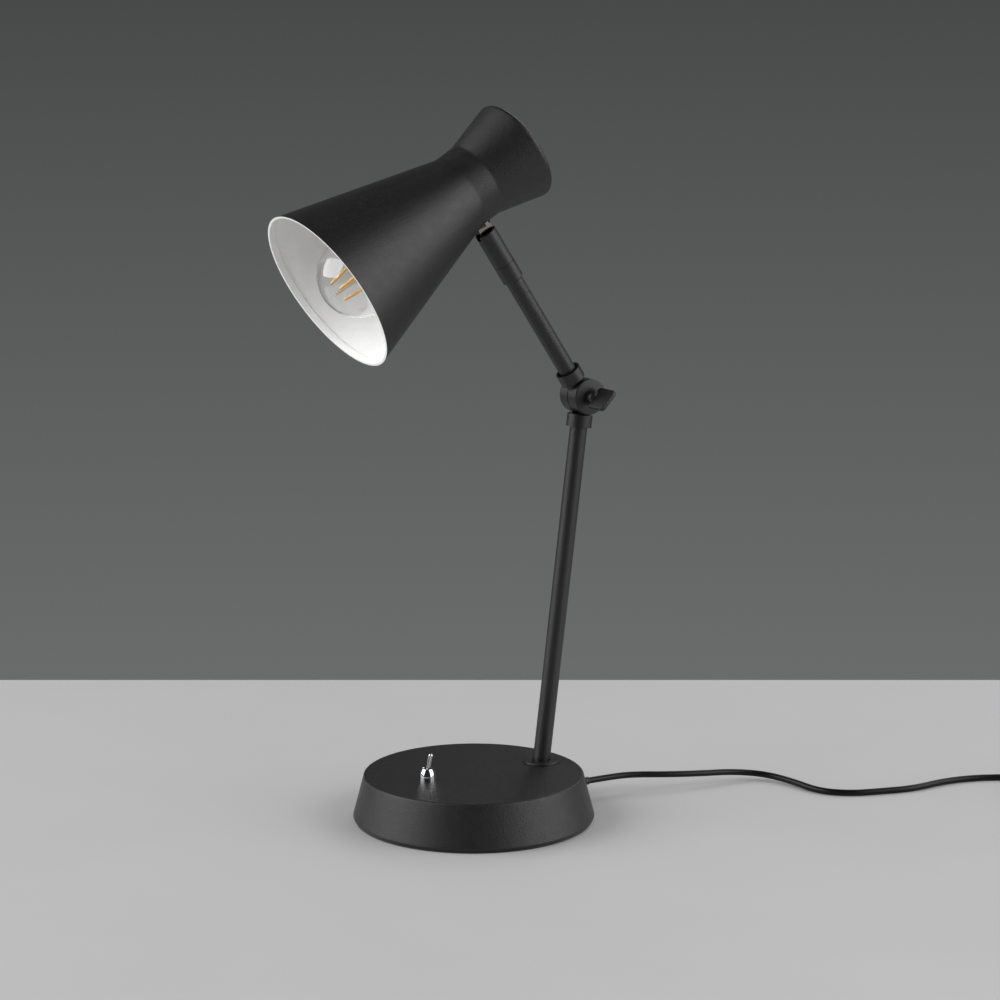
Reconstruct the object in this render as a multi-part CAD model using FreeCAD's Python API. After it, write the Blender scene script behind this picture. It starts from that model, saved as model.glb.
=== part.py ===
import FreeCAD, Part
import math
import os

# A desk lamp: weighted round base with a toggle switch, a fixed leaning pole,
# an elbow with a wing screw, an upper arm with a swivelling fork, and a spun
# waisted shade round a filament bulb. Millimetres, +Z up, origin on the table
# under the middle of the base. The arms stand in the XZ plane, shade towards -X.

# Fits
SNUG = 0.05            # radial room between pieces that are fixed together
RUNNING = 0.06         # radial room between a pin and what turns on it
FACE_GAP = 0.1         # room between flat faces that slide on each other
PAST = 1.0             # how far a cutting form passes the face that it opens
THROUGH = 20.0         # a cutting form that goes right through a knuckle, each way

# Base
BASE_RADIUS = 90.0
BASE_TOP_RADIUS = 81.5
BASE_HEIGHT = 34.5
BASE_WALL = 1.8
BASE_TOP_ROUND = 1.6
BASE_FOOT_ROUND = 1.2
PAD_THICKNESS = 2.0
PAD_INSET = 1.8        # the insets are measured inwards from the cover's foot
PLATE_THICKNESS = 1.2
WEIGHT_INSET = 12.0
WEIGHT_THICKNESS = 10.0
WEIGHT_EDGE = 1.0
WEIGHT_NOTCH_WIDTH = 28.0
WEIGHT_NOTCH_LEAD = 15.0  # the notch starts this far inside the pole's foot
WEIGHT_EYE = 8.0
STUD_INSET = 40.0
STUD_ANGLES = (90.0, 210.0, 330.0)
STUD_RADIUS = 4.5
PLATE_SCREW_RADIUS = 1.8
PLATE_SCREW_LENGTH = 22.0
PLATE_SCREW_HEAD_RADIUS = 3.8
PLATE_SCREW_HEAD_HEIGHT = 1.6
PLATE_SCREW_DRIVE = 3.0

# Pole
POLE_INSET = 31.0
POLE_LEAN = 7.2        # degrees from vertical, towards +X
POLE_REACH = 278.2     # from the top of the base to the elbow's axis
TUBE_RADIUS = 6.5
TUBE_WALL = 1.0
ROSETTE_RADIUS = 13.8
ROSETTE_THICKNESS = 1.5
ROSETTE_GAP = 0.7
FOOT_STEP = 0.5        # the tube's foot is turned down by this much
FOOT_SHOW = 0.9        # and shows it above the rosette
NIPPLE_THREAD = 5.0
NIPPLE_BORE = 3.2
NIPPLE_PLUG = 20.0
NIPPLE_DROP = 12.0
FOOT_WASHER_RADIUS = 9.5
FOOT_WASHER_THICKNESS = 1.2
FOOT_NUT_FLATS = 16.0
FOOT_NUT_HEIGHT = 5.0

# Toggle switch
SWITCH_X = -39.4
SWITCH_BUSH_RADIUS = 3.0
SWITCH_BUSH_RISE = 7.0
SWITCH_BUSH_SUMP = 2.0
SWITCH_BODY = (13.2, 7.9, 10.0)
SWITCH_BODY_ROUND = 0.6
SWITCH_BODY_GAP = 0.6
SWITCH_JAM_NUT_HEIGHT = 1.8
SWITCH_JAM_NUT_FLATS = 8.0
SWITCH_TERMINAL = (1.0, 2.4, 4.2)
SWITCH_TERMINAL_PITCH = 4.7
SWITCH_EYE = 0.5
DOME_NUT_RADIUS = 5.7
DOME_NUT_FOOT_RADIUS = 5.35
DOME_NUT_MOUTH = 3.5
DOME_NUT_HEIGHT = 9.0
DOME_NUT_WAIST = 3.2   # height of the widest part
DOME_NUT_SHOULDER = (5.25, 6.1)
DOME_NUT_LIP = (0.5, 0.2)
DOME_NUT_RELIEF = 1.0  # the thread ends this far below the bush's mouth
LEVER_THROW = 12.0     # degrees each side of upright
LEVER_RADIUS = 1.4
LEVER_TIP_RADIUS = 1.7
LEVER_LENGTH = 14.8
LEVER_BALL_RADIUS = 2.2
LEVER_TAIL = 3.4
LEVER_TAIL_RADIUS = 0.9
LEVER_PIVOT_DEPTH = 1.6  # below the bush's mouth
SWITCH_BUSH_BORE = LEVER_BALL_RADIUS + RUNNING

# Elbow
ELBOW_RADIUS = 13.4
ELBOW_SEAM_Y = -0.6    # the seam stands a little in front of the arms' axis
ELBOW_FRONT_Y = -12.4
ELBOW_BACK_Y = 12.0
ELBOW_DOME = 0.9
ELBOW_BACK_DOME = 0.4
ELBOW_FRONT_ROUND = 1.0
ELBOW_BACK_ROUND = 2.6
KNUCKLE_NECK_RADIUS = 7.4  # joins the disc and the collar, hidden between them
COLLAR_RADIUS = 9.5
COLLAR_ROOM = 0.4      # each collar clears the other half's disc by this much
COLLAR_LENGTH = 9.7
COLLAR_ROUND = 1.2
COLLAR_FLOOR = 5.8
COLLAR_LIP = 1.3
COLLAR_SKIN = 0.8      # metal left under the leads' way through the collar
SPIGOT_LENGTH = 14.0
LEAD_BORE = 3.0
LEAD_WAY = 1.75        # the narrow way from the spigot into the race
RACE_INNER = 4.6       # the ring-shaped chamber that the lead loops through
RACE_OUTER = 9.0
RACE_DEPTH = 4.0
DISC_THICKNESS = 0.8
DISC_RADIUS = 11.6
WING_SCREW_RADIUS = 3.0
WING_NUT_FLATS = 10.0
WING_NUT_HEIGHT = 4.0
WING_HUB_RADIUS = 4.8
WING_HUB_LENGTH = 6.5
WING_HUB_ROUND = 2.2
WING_START = 3.6
WING_END = 24.5
WING_WIDTH = 17.6
WING_THICKNESS = 3.2
WING_CORNER = 2.6
WING_EDGE_ROUND = 0.5
WING_TURN = 47.0       # degrees, the paddle's slope in the lamp's plane
WING_WASHER_RADIUS = 6.2
WING_WASHER_THICKNESS = 0.8
WING_WASHER_SINK = 1.0  # of the washer's seat, below the knuckle's face
WING_NUT_SINK = 0.6

# Upper arm and fork
ARM_LEAN = -33.8
ARM_REACH = 145.2      # from the elbow's axis to the pivot pin
SLEEVE_RADIUS = 8.0
SLEEVE_LENGTH = 15.0
SLEEVE_SEAM_BACK = 23.0  # from the pivot pin back to the seam that the fork turns at
SLEEVE_STEP_BACK = 28.2  # and back to the tube's end
SLEEVE_SEAM_GAP = 0.25
SLEEVE_CHAMFER = 1.0
FORK_MOUTH = 5.4       # from the pivot pin to the fork's open end
FORK_CUP_RADIUS = 6.5
FORK_CUP_DEPTH = 3.2
FORK_NOTCH_DEPTH = 3.4  # of the short notch that stops the shade's tilt on one side
FORK_SLOT = 5.3
FORK_SLOT_FLOOR = 7.2  # below the pin
FORK_END_ROUND = 0.8
JOURNAL_RADIUS = 5.5
JOURNAL_LENGTH = 13.0
JOURNAL_BORE = 2.7
CLIP_THICKNESS = 1.0
CLIP_DEPTH = 0.7
CLIP_FROM_END = 2.6
CLIP_GAP = 4.0
PIVOT_RADIUS = 2.0
PIVOT_SKIN = 1.8       # left in front of the stud's blind hole
PIVOT_DRIVE = 1.5
PIVOT_DRIVE_DEPTH = 1.1
PIVOT_NUT_FLATS = 5.5
PIVOT_NUT_HEIGHT = 1.9
PIVOT_NUT_ROOM = 0.6   # round the nut's corners, for a box spanner
PIVOT_SINK = 0.5

# Shade, measured along its axis from the rim
SHADE_LEAN = 58.7      # the axis from upright, towards +X
RIM_RADIUS = 62.8
CONE_LENGTH = 124.0
NECK_RADIUS = 28.4
NECK_LENGTH = 17.0
TAIL_LENGTH = 40.0
TAIL_RADIUS = 38.7
TAIL_DOME = 3.0
TAIL_ROUND = 3.0
WAIST_ROUND = 9.0
SHADE_WALL = 1.0
HEM_WIDTH = 4.8
HEM_THICKNESS = 1.5
HEM_OVERLAP = 0.3      # the folded hem is welded into the skin by this much
PIN_BACK = 4.7         # from the cone's end back to the pivot pin
PIN_RISE = 12.3        # from the neck's skin out to the pivot pin

# Shade knuckle
TAB_THICKNESS = 5.1
TAB_ROUND = 5.6
TAB_FLANGE_RADIUS = 6.6
TAB_FLANGE_HEIGHT = 1.8
STEM_RADIUS = 4.0
STEM_BORE = 1.8
WIRE_WAY = 0.9         # two slanted ways past the pivot pin, for the two cores
WIRE_WAY_SLANT = 13.0
STEM_REACH = 9.4
SADDLE_RADIUS = 8.0
SADDLE_HEIGHT = 2.2
STEM_NUT_FLATS = 12.0
STEM_NUT_HEIGHT = 3.6

# Lampholder
STRIP_WIDTH = 12.0
STRIP_THICKNESS = 1.5
STRIP_BEND = 2.0
STRIP_EYE = 2.2        # hole that the cores pass through
STRIP_EYE_X = 13.8
LEG_ROOM = 0.4
HOLDER_REAR_LENGTH = 10.0
HOLDER_REAR_RADIUS = 11.5
HOLDER_NIPPLE_SHOW = 3.0
HOLDER_LOOP = 12.0     # how far the cores stand out behind the nipple
SHELL_INSET = 0.8
CONTACT_ROOM = 4.5
HOLDER_RADIUS = 17.0
HOLDER_MOUTH_AHEAD = 48.0  # from the cone's end forward to the holder's mouth
HOLDER_LENGTH = 50.0
HOLDER_ROUND = 3.0
HOLDER_NIPPLE_RADIUS = 5.0
HOLDER_NIPPLE_BORE = 3.4
HOLDER_NUT_FLATS = 12.0
HOLDER_NUT_HEIGHT = 3.0
SHELL_WALL = 0.4
SHELL_LENGTH = 25.0
CONTACT_TONGUE = (8.0, 5.0, 0.8)

# Filament bulb
BULB_OFFSET = 4.8      # from the shade's axis, towards its underside
GLOBE_AHEAD = 49.0      # from the holder's mouth forward to the globe's middle
GLOBE_RADIUS = 30.0
GLASS_WALL = 0.8
GLASS_NECK_RADIUS = 13.05
BULB_LENGTH = 105.0
CAP_RADIUS = 13.05
CAP_WALL = 0.5
CAP_LENGTH = 23.0
CAP_SEAL_HEIGHT = 3.0
CAP_CONTACT_RADIUS = 4.0
CAP_CONTACT_HEIGHT = 1.0
CAP_ROUND = 2.0
CAP_SEAL_RADIUS = 9.0
GLASS_IN_CAP = 4.0
GLOBE_BLEND_ANGLE = 35.0
STEM_FLARE_RIM = 1.2
STEM_FLARE_LENGTH = 12.0
STEM_TUBE_RADIUS = 3.4
STEM_PRESS_BACK = 23.0  # from the globe's middle back to the stem's flattened end
STEM_PRESS_LENGTH = 8.0
STEM_PRESS_HALF = 1.3
STEM_ROD_LEAD = 1.5
FILAMENT_COUNT = 4
FILAMENT_RADIUS = 1.05
FILAMENT_LENGTH = 31.0
FILAMENT_AHEAD = 20.0  # from the globe's middle forward to the filaments' front ends
FILAMENT_FRONT_RADIUS = 7.2
FILAMENT_SPREAD = 7.0  # degrees away from the axis
FILAMENT_TURN = 63.6   # degrees round the bulb's axis to the first filament
WIRE_RADIUS = 0.35
GLASS_ROD_RADIUS = 0.9

# Mains cord
CORD_RADIUS = 2.4
LEAD_RADIUS = 2.2
CORD_EXIT_HEIGHT = 13.0
GLAND_REACH = 11.0     # where the free cord starts, from the cover's foot
GLAND_INSET = 16.0
GLAND_RADIUS = 4.5
GLAND_NOSE_RADIUS = 3.3
GLAND_COLLAR_RADIUS = 6.2
GLAND_COLLAR_THICKNESS = 2.0
CLAMP_LEAD = 3.8       # from the gland's inner end to the clamp's middle
CLAMP_LENGTH = 6.0
CLAMP_WIDTH = 20.0
CLAMP_TOP = 18.5
CLAMP_SLIT = 0.8
CLAMP_HEAD_RADIUS = 2.6
CLAMP_HEAD_HEIGHT = 1.6
CLAMP_SCREW_RADIUS = 1.4
CLAMP_SCREW_SPREAD = 6.6
BLOCK_SIZE = (14.0, 18.0, 14.0)
BLOCK_SCREW_RADIUS = 1.6
BLOCK_SCREW_SPREAD = 5.0
CORE_RADIUS = 0.8
CORE_SPREAD = 0.85     # half the distance between the two cores of a lead
TIE_THICKNESS = 0.5
TIE_WIDTH = 7.0
TIE_ROOM = 0.6
TIE_ROUND = 2.2
BLOCK_ROUND = 0.8
BLOCK_SCREW_DEPTH = 6.0
CLAMP_ROUND = 2.0
COLLAR_CLEARANCE = 0.05
COIL_TURN_PITCH = 5.8
COIL_LAYER_PITCH = 5.4
COIL_TUCK = 1.0        # the reversing turn lies this much further in
COIL_HALF_TURNS = 7    # inwards in the lower layer
COIL_INNER_RADIUS = 19.3
COIL_END_RUN = 5.0
BASE_LEAD_BENDS = (34.0, 14.0, 8.0)  # where the switch's cores bend, from its terminals
BASE_LEAD_SPACE = 2.4
PLUG_THICKNESS = 14.0
PLUG_WIDTH = 35.0
PLUG_REAR_WIDTH = 15.0
PLUG_LENGTH = 33.0
PLUG_FACE_LENGTH = 12.0
PLUG_ROUND = 2.5
BOOT_LENGTH = 20.0
BOOT_RADIUS = 4.4
BOOT_SKIN = 0.7
PLUG_PIN_PITCH = 18.6
PLUG_PIN_RADIUS = 2.0
PLUG_PIN_CORE = 1.5
PLUG_SLEEVE_RADIUS = 1.9
PLUG_SLEEVE_LENGTH = 10.0
PLUG_PIN_LENGTH = 19.0
PLUG_PIN_ROOT = 8.0

# The free cord's route to the coil, chosen by hand: outwards from the gland's nose,
# sideways from the lamp's plane and up from the table
CORD_ROUTE = [
    (0.0, 0.0, CORD_EXIT_HEIGHT),
    (16.0, 0.0, 13.0),
    (38.0, -1.5, 12.8),
    (65.0, -13.0, 11.5),
    (93.0, -18.5, 9.6),
    (121.0, -20.0, 7.2),
    (145.0, -31.0, 4.4),
    (154.0, -57.0, 2.9),
    (156.0, -83.0, 2.4),
    (172.0, -101.0, 2.4),
    (197.0, -109.0, 2.4),
    (224.0, -116.0, 2.4),
    (254.0, -112.5, 2.4),
    (283.0, -117.5, 2.4),
    (307.0, -130.5, 2.4),
    (327.0, -142.0, 2.95),
    (345.0, -152.4, 2.95),
]

# From the coil to the plug: run, turn in degrees, share of the way down to the plug
CORD_TAIL = [
    (16.0, 0.0, 0.0),
    (22.0, -24.0, 0.35),
    (24.0, -30.0, 0.65),
    (22.0, -26.0, 0.0),
]

Vec = FreeCAD.Vector
HERE = Vec(0, 0, 0)
X_AXIS = Vec(1, 0, 0)
Y_AXIS = Vec(0, 1, 0)
Z_AXIS = Vec(0, 0, 1)

os.makedirs("parts", exist_ok=True)


def save(name, *solids):
    """Write one named piece, or a group of like pieces, and report its volume."""
    shape = solids[0] if len(solids) == 1 else Part.makeCompound(list(solids))
    shape = shape.removeSplitter() if len(solids) == 1 else shape
    if not shape.isValid():
        print("NOT VALID:", name)
    shape.exportStep("parts/" + name + ".step")
    print("%-20s %2d solid %10.1f mm3" % (name, len(shape.Solids), shape.Volume))


def turned(points):
    """A solid of revolution about Z from an outline of (radius, height) points."""
    corners = [Vec(r, 0, z) for r, z in points]
    outline = Part.makePolygon(corners + [corners[0]])
    return Part.Face(outline).revolve(HERE, Z_AXIS, 360)


def rod(radius, low, high, x=0.0, y=0.0):
    """An upright cylinder between two heights."""
    return Part.makeCylinder(radius, high - low, Vec(x, y, low), Z_AXIS)


def cross_rod(radius, low_y, high_y, x=0.0, z=0.0):
    """A cylinder along Y between two values of y."""
    return Part.makeCylinder(radius, high_y - low_y, Vec(x, low_y, z), Y_AXIS)


def side_rod(radius, low_x, high_x, y=0.0, z=0.0):
    """A cylinder along X between two values of x."""
    return Part.makeCylinder(radius, high_x - low_x, Vec(low_x, y, z), X_AXIS)


def block(low, high):
    """A box from its low corner to its high corner."""
    size = [h - l for l, h in zip(low, high)]
    return Part.makeBox(size[0], size[1], size[2], Vec(*low))


def hexagon(flats, low, high):
    """A hexagonal bar along Z with the given width across flats."""
    reach = flats / 2 / math.cos(math.radians(30))
    corners = []
    for side in range(7):
        angle = math.radians(60 * side)
        corners.append(Vec(reach * math.cos(angle), reach * math.sin(angle), low))
    face = Part.Face(Part.makePolygon(corners))
    return face.extrude(Vec(0, 0, high - low))


def rounded(shape, radius, chosen):
    """Fillet the edges for which chosen(edge) is true."""
    return shape.makeFillet(radius, [edge for edge in shape.Edges if chosen(edge)])


def bevelled(shape, size, chosen):
    """Chamfer the edges for which chosen(edge) is true."""
    return shape.makeChamfer(size, [edge for edge in shape.Edges if chosen(edge)])


def ring_at(radius, height):
    """A test for the full circles round Z of one radius at one height."""
    def chosen(edge):
        if edge.Degenerated:
            return False
        curve = edge.Curve
        if curve.TypeId != "Part::GeomCircle":
            return False
        close = abs(curve.Radius - radius) < 0.01 and abs(curve.Center.z - height) < 0.01
        return close and abs(curve.Center.x) + abs(curve.Center.y) < 0.01
    return chosen


def leaned(shape, lean, at):
    """Turn a piece about Y by its lean from upright, then move it to its place."""
    moved = shape.copy()
    moved.rotate(HERE, Y_AXIS, lean)
    moved.translate(at)
    return moved


def along(lean, distance):
    """The step of one distance in the XZ plane, lean degrees from upright."""
    angle = math.radians(lean)
    return Vec(distance * math.sin(angle), 0, distance * math.cos(angle))


# Sizes that follow from others
POLE_FOOT_X = BASE_RADIUS - POLE_INSET
GLAND_NOSE = BASE_RADIUS + GLAND_REACH
GLAND_START = BASE_RADIUS - GLAND_INSET
CLAMP_X = GLAND_START - CLAMP_LEAD
COLLAR_START = ELBOW_RADIUS + COLLAR_ROOM
COLLAR_END = COLLAR_START + COLLAR_LENGTH
SLEEVE_SEAM = ARM_REACH - SLEEVE_SEAM_BACK
SLEEVE_START = SLEEVE_SEAM - SLEEVE_LENGTH
SLEEVE_STEP = ARM_REACH - SLEEVE_STEP_BACK
FORK_END = ARM_REACH + FORK_MOUTH
PIN_STATION = CONE_LENGTH + PIN_BACK
PIN_OFFSET = NECK_RADIUS + PIN_RISE
HOLDER_MOUTH = CONE_LENGTH - HOLDER_MOUTH_AHEAD
GLOBE_CENTRE = HOLDER_MOUTH - GLOBE_AHEAD
STEM_PRESS_FRONT = GLOBE_CENTRE + STEM_PRESS_BACK
FILAMENT_FRONT = GLOBE_CENTRE - FILAMENT_AHEAD

# The places that the lamp's pose is made from
FOOT = Vec(POLE_FOOT_X, 0, BASE_HEIGHT)
ELBOW = FOOT + along(POLE_LEAN, POLE_REACH)
PIN = ELBOW + along(ARM_LEAN, ARM_REACH)
RIM_CENTRE = PIN - along(SHADE_LEAN, PIN_STATION) - along(SHADE_LEAN + 90, PIN_OFFSET)


def on_pole(shape):
    """Place a piece made with the pole's foot at the origin and the pole along Z."""
    return leaned(shape, POLE_LEAN, FOOT)


def on_arm(shape):
    """Place a piece made with the elbow at the origin and the upper arm along Z."""
    return leaned(shape, ARM_LEAN, ELBOW)


def on_shade(shape):
    """Place a piece made with the rim at z=0, the shade's axis along Z, its pin at +X."""
    return leaned(shape, SHADE_LEAN, RIM_CENTRE)


# Base shell: a drawn steel cover, open below, with three welded studs
SIDE_SLOPE = (BASE_RADIUS - BASE_TOP_RADIUS) / (BASE_HEIGHT - PAD_THICKNESS)
INNER_TOP = BASE_HEIGHT - BASE_WALL
PLATE_TOP = PAD_THICKNESS + PLATE_THICKNESS
WEIGHT_TOP = PLATE_TOP + WEIGHT_THICKNESS


def side_radius(height):
    """The shell's outer radius at a height, on its sloping side."""
    return BASE_RADIUS - (height - PAD_THICKNESS) * SIDE_SLOPE


def stud_places():
    """The middles of the three studs, on their circle."""
    places = []
    for angle in STUD_ANGLES:
        turn = math.radians(angle)
        circle = BASE_RADIUS - STUD_INSET
        places.append((circle * math.cos(turn), circle * math.sin(turn)))
    return places


shell = turned([
    (0, PAD_THICKNESS),
    (BASE_RADIUS, PAD_THICKNESS),
    (BASE_TOP_RADIUS, BASE_HEIGHT),
    (0, BASE_HEIGHT),
])
shell = rounded(shell, BASE_TOP_ROUND, ring_at(BASE_TOP_RADIUS, BASE_HEIGHT))
shell = rounded(shell, BASE_FOOT_ROUND, ring_at(BASE_RADIUS, PAD_THICKNESS))
hollow = turned([
    (0, 0),
    (side_radius(0) - BASE_WALL, 0),
    (side_radius(INNER_TOP) - BASE_WALL, INNER_TOP),
    (0, INNER_TOP),
])
shell = shell.cut(hollow)
for x, y in stud_places():
    shell = shell.fuse(rod(STUD_RADIUS, WEIGHT_TOP, INNER_TOP + BASE_WALL / 2, x, y))
    shell = shell.cut(rod(PLATE_SCREW_RADIUS + SNUG, 0, INNER_TOP - BASE_WALL, x, y))
for radius, x in ((NIPPLE_THREAD + SNUG, POLE_FOOT_X), (SWITCH_BUSH_RADIUS + SNUG, SWITCH_X)):
    shell = shell.cut(rod(radius, INNER_TOP - PAST, BASE_HEIGHT + PAST, x))
shell = shell.cut(side_rod(GLAND_RADIUS + SNUG, GLAND_START, GLAND_NOSE, 0, CORD_EXIT_HEIGHT))
save("base_shell", shell)

# Bottom plate, cast weight, pad and the screws that hold them to the studs
plate_radius = side_radius(PLATE_TOP) - BASE_WALL - SNUG - SIDE_SLOPE * PLATE_THICKNESS
plate = rod(plate_radius, PAD_THICKNESS, PLATE_TOP)
weight_radius = BASE_RADIUS - WEIGHT_INSET
weight = rod(weight_radius, PLATE_TOP, WEIGHT_TOP)
weight = bevelled(weight, WEIGHT_EDGE, ring_at(weight_radius, WEIGHT_TOP))
weight = weight.cut(rod(WEIGHT_EYE, 0, BASE_HEIGHT))
notch = block(
    (POLE_FOOT_X - WEIGHT_NOTCH_LEAD, -WEIGHT_NOTCH_WIDTH / 2, 0),
    (BASE_RADIUS, WEIGHT_NOTCH_WIDTH / 2, BASE_HEIGHT),
)
weight = weight.cut(notch)
pad = rod(BASE_RADIUS - PAD_INSET, 0, PAD_THICKNESS)
plate_screws = []
head_low = PAD_THICKNESS - PLATE_SCREW_HEAD_HEIGHT
for x, y in stud_places():
    plate = plate.cut(rod(PLATE_SCREW_RADIUS + 4 * SNUG, 0, BASE_HEIGHT, x, y))
    weight = weight.cut(rod(PLATE_SCREW_RADIUS + 4 * SNUG, 0, BASE_HEIGHT, x, y))
    pad = pad.cut(rod(PLATE_SCREW_HEAD_RADIUS + PAST, -PAST, BASE_HEIGHT, x, y))
    head = rod(PLATE_SCREW_HEAD_RADIUS, head_low, PAD_THICKNESS, x, y)
    shank = rod(PLATE_SCREW_RADIUS, PAD_THICKNESS, PAD_THICKNESS + PLATE_SCREW_LENGTH, x, y)
    drive = hexagon(PLATE_SCREW_DRIVE, head_low, head_low + PLATE_SCREW_HEAD_HEIGHT / 2)
    drive.translate(Vec(x, y, 0))
    plate_screws.append(head.fuse(shank).cut(drive))
for hole_x, hole_y in ((CLAMP_X, CLAMP_SCREW_SPREAD), (CLAMP_X, -CLAMP_SCREW_SPREAD)):
    plate = plate.cut(rod(CLAMP_SCREW_RADIUS + SNUG, 0, PLATE_TOP + PAST, hole_x, hole_y))
save("base_plate", plate)
save("base_weight", weight)
save("base_pad", pad)
save("plate_screws", *plate_screws)

# Pole: a steel tube that stands on the base, on a bent hollow nipple
TUBE_BORE = TUBE_RADIUS - TUBE_WALL
TUBE_SEAT = COLLAR_START + COLLAR_FLOOR


def above_base(shape):
    """Keep only what stands above the base's top face."""
    reach = 2 * BASE_RADIUS
    return shape.cut(block((-reach, -reach, BASE_HEIGHT - reach), (reach, reach, BASE_HEIGHT)))


pole = rod(TUBE_RADIUS, -NIPPLE_DROP, POLE_REACH - TUBE_SEAT)
pole = pole.cut(rod(TUBE_BORE, -NIPPLE_DROP - PAST, POLE_REACH))
pole = above_base(on_pole(pole))
turned_off = rod(ROSETTE_RADIUS, BASE_HEIGHT, BASE_HEIGHT + ROSETTE_THICKNESS + FOOT_SHOW, POLE_FOOT_X)
foot_radius = TUBE_RADIUS - FOOT_STEP
pole = pole.cut(turned_off.cut(on_pole(rod(foot_radius, -NIPPLE_DROP, NIPPLE_DROP))))
rosette = rod(ROSETTE_RADIUS, BASE_HEIGHT, BASE_HEIGHT + ROSETTE_THICKNESS, POLE_FOOT_X)
rosette = rounded(rosette, ROSETTE_THICKNESS / 2, lambda edge: edge.BoundBox.ZMin > BASE_HEIGHT + SNUG
                  and edge.BoundBox.ZLength < SNUG)
ring_hole = rod(foot_radius + ROSETTE_GAP, -NIPPLE_DROP, NIPPLE_DROP)
rosette = rosette.cut(on_pole(ring_hole))
plug = above_base(on_pole(rod(TUBE_BORE - SNUG, -NIPPLE_DROP, NIPPLE_PLUG)))
nipple = plug.fuse(rod(NIPPLE_THREAD, INNER_TOP - NIPPLE_DROP, BASE_HEIGHT, POLE_FOOT_X))
nipple = nipple.cut(rod(NIPPLE_BORE, 0, BASE_HEIGHT + PAST, POLE_FOOT_X))
nipple = nipple.cut(on_pole(rod(NIPPLE_BORE, 0, NIPPLE_PLUG + PAST)))
washer_low = INNER_TOP - FOOT_WASHER_THICKNESS
foot_washer = rod(FOOT_WASHER_RADIUS, washer_low, INNER_TOP, POLE_FOOT_X)
foot_washer = foot_washer.cut(rod(NIPPLE_THREAD + SNUG, 0, BASE_HEIGHT, POLE_FOOT_X))
foot_nut = hexagon(FOOT_NUT_FLATS, washer_low - FOOT_NUT_HEIGHT, washer_low)
foot_nut.translate(Vec(POLE_FOOT_X, 0, 0))
foot_nut = foot_nut.cut(rod(NIPPLE_THREAD + SNUG, 0, BASE_HEIGHT, POLE_FOOT_X))
save("lower_tube", pole)
save("foot_rosette", rosette)
save("foot_nipple", nipple)
save("foot_washer", foot_washer)
save("foot_nut", foot_nut)

# Toggle switch: body, threaded bush, terminals, jam nut, domed nut and lever
jam_low = INNER_TOP - SWITCH_JAM_NUT_HEIGHT
body_x, body_y, body_z = SWITCH_BODY
body_top = jam_low - SWITCH_BODY_GAP
body_low = body_top - body_z
switch_body = block(
    (SWITCH_X - body_x / 2, -body_y / 2, body_low),
    (SWITCH_X + body_x / 2, body_y / 2, body_top),
)
switch_body = rounded(switch_body, SWITCH_BODY_ROUND, lambda edge: edge.BoundBox.ZLength > PAST)
bush_top = BASE_HEIGHT + SWITCH_BUSH_RISE
bush = rod(SWITCH_BUSH_RADIUS, body_top, bush_top, SWITCH_X)
bush_floor = bush_top - LEVER_PIVOT_DEPTH - LEVER_TAIL - SWITCH_BUSH_SUMP
bush = bush.cut(rod(SWITCH_BUSH_BORE, bush_floor, bush_top + PAST, SWITCH_X))
jam_nut = hexagon(SWITCH_JAM_NUT_FLATS, jam_low, INNER_TOP)
jam_nut.translate(Vec(SWITCH_X, 0, 0))
jam_nut = jam_nut.cut(rod(SWITCH_BUSH_RADIUS + SNUG, 0, BASE_HEIGHT, SWITCH_X))
blade_x, blade_y, blade_z = SWITCH_TERMINAL
terminals = []
for step in (-1, 0, 1):
    middle = SWITCH_X + step * SWITCH_TERMINAL_PITCH
    blade = block(
        (middle - blade_x / 2, -blade_y / 2, body_low - blade_z),
        (middle + blade_x / 2, blade_y / 2, body_low),
    )
    eye = side_rod(SWITCH_EYE, middle - blade_x, middle + blade_x, 0, body_low - blade_z / 2)
    terminals.append(blade.cut(eye))


def dome_outline():
    """The domed nut's section: straight foot, swelling side, rolled mouth, threaded bore."""
    lip_width, lip_drop = DOME_NUT_LIP
    thread_top = SWITCH_BUSH_RISE - DOME_NUT_RELIEF
    foot = Vec(DOME_NUT_FOOT_RADIUS, 0, 0)
    waist = Vec(DOME_NUT_RADIUS, 0, DOME_NUT_WAIST)
    shoulder = Vec(DOME_NUT_SHOULDER[0], 0, DOME_NUT_SHOULDER[1])
    mouth = Vec(DOME_NUT_MOUTH + lip_width, 0, DOME_NUT_HEIGHT)
    lip = Vec(DOME_NUT_MOUTH, 0, DOME_NUT_HEIGHT - lip_drop)
    socket = Vec(DOME_NUT_MOUTH, 0, thread_top)
    bore = Vec(SWITCH_BUSH_RADIUS + SNUG, 0, thread_top)
    base = Vec(SWITCH_BUSH_RADIUS + SNUG, 0, 0)
    side = Part.BSplineCurve()
    side.interpolate([foot, waist, shoulder, mouth])
    edges = [side.toShape()]
    for start, end in ((mouth, lip), (lip, socket), (socket, bore), (bore, base), (base, foot)):
        edges.append(Part.LineSegment(start, end).toShape())
    return Part.Face(Part.Wire(edges))


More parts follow.
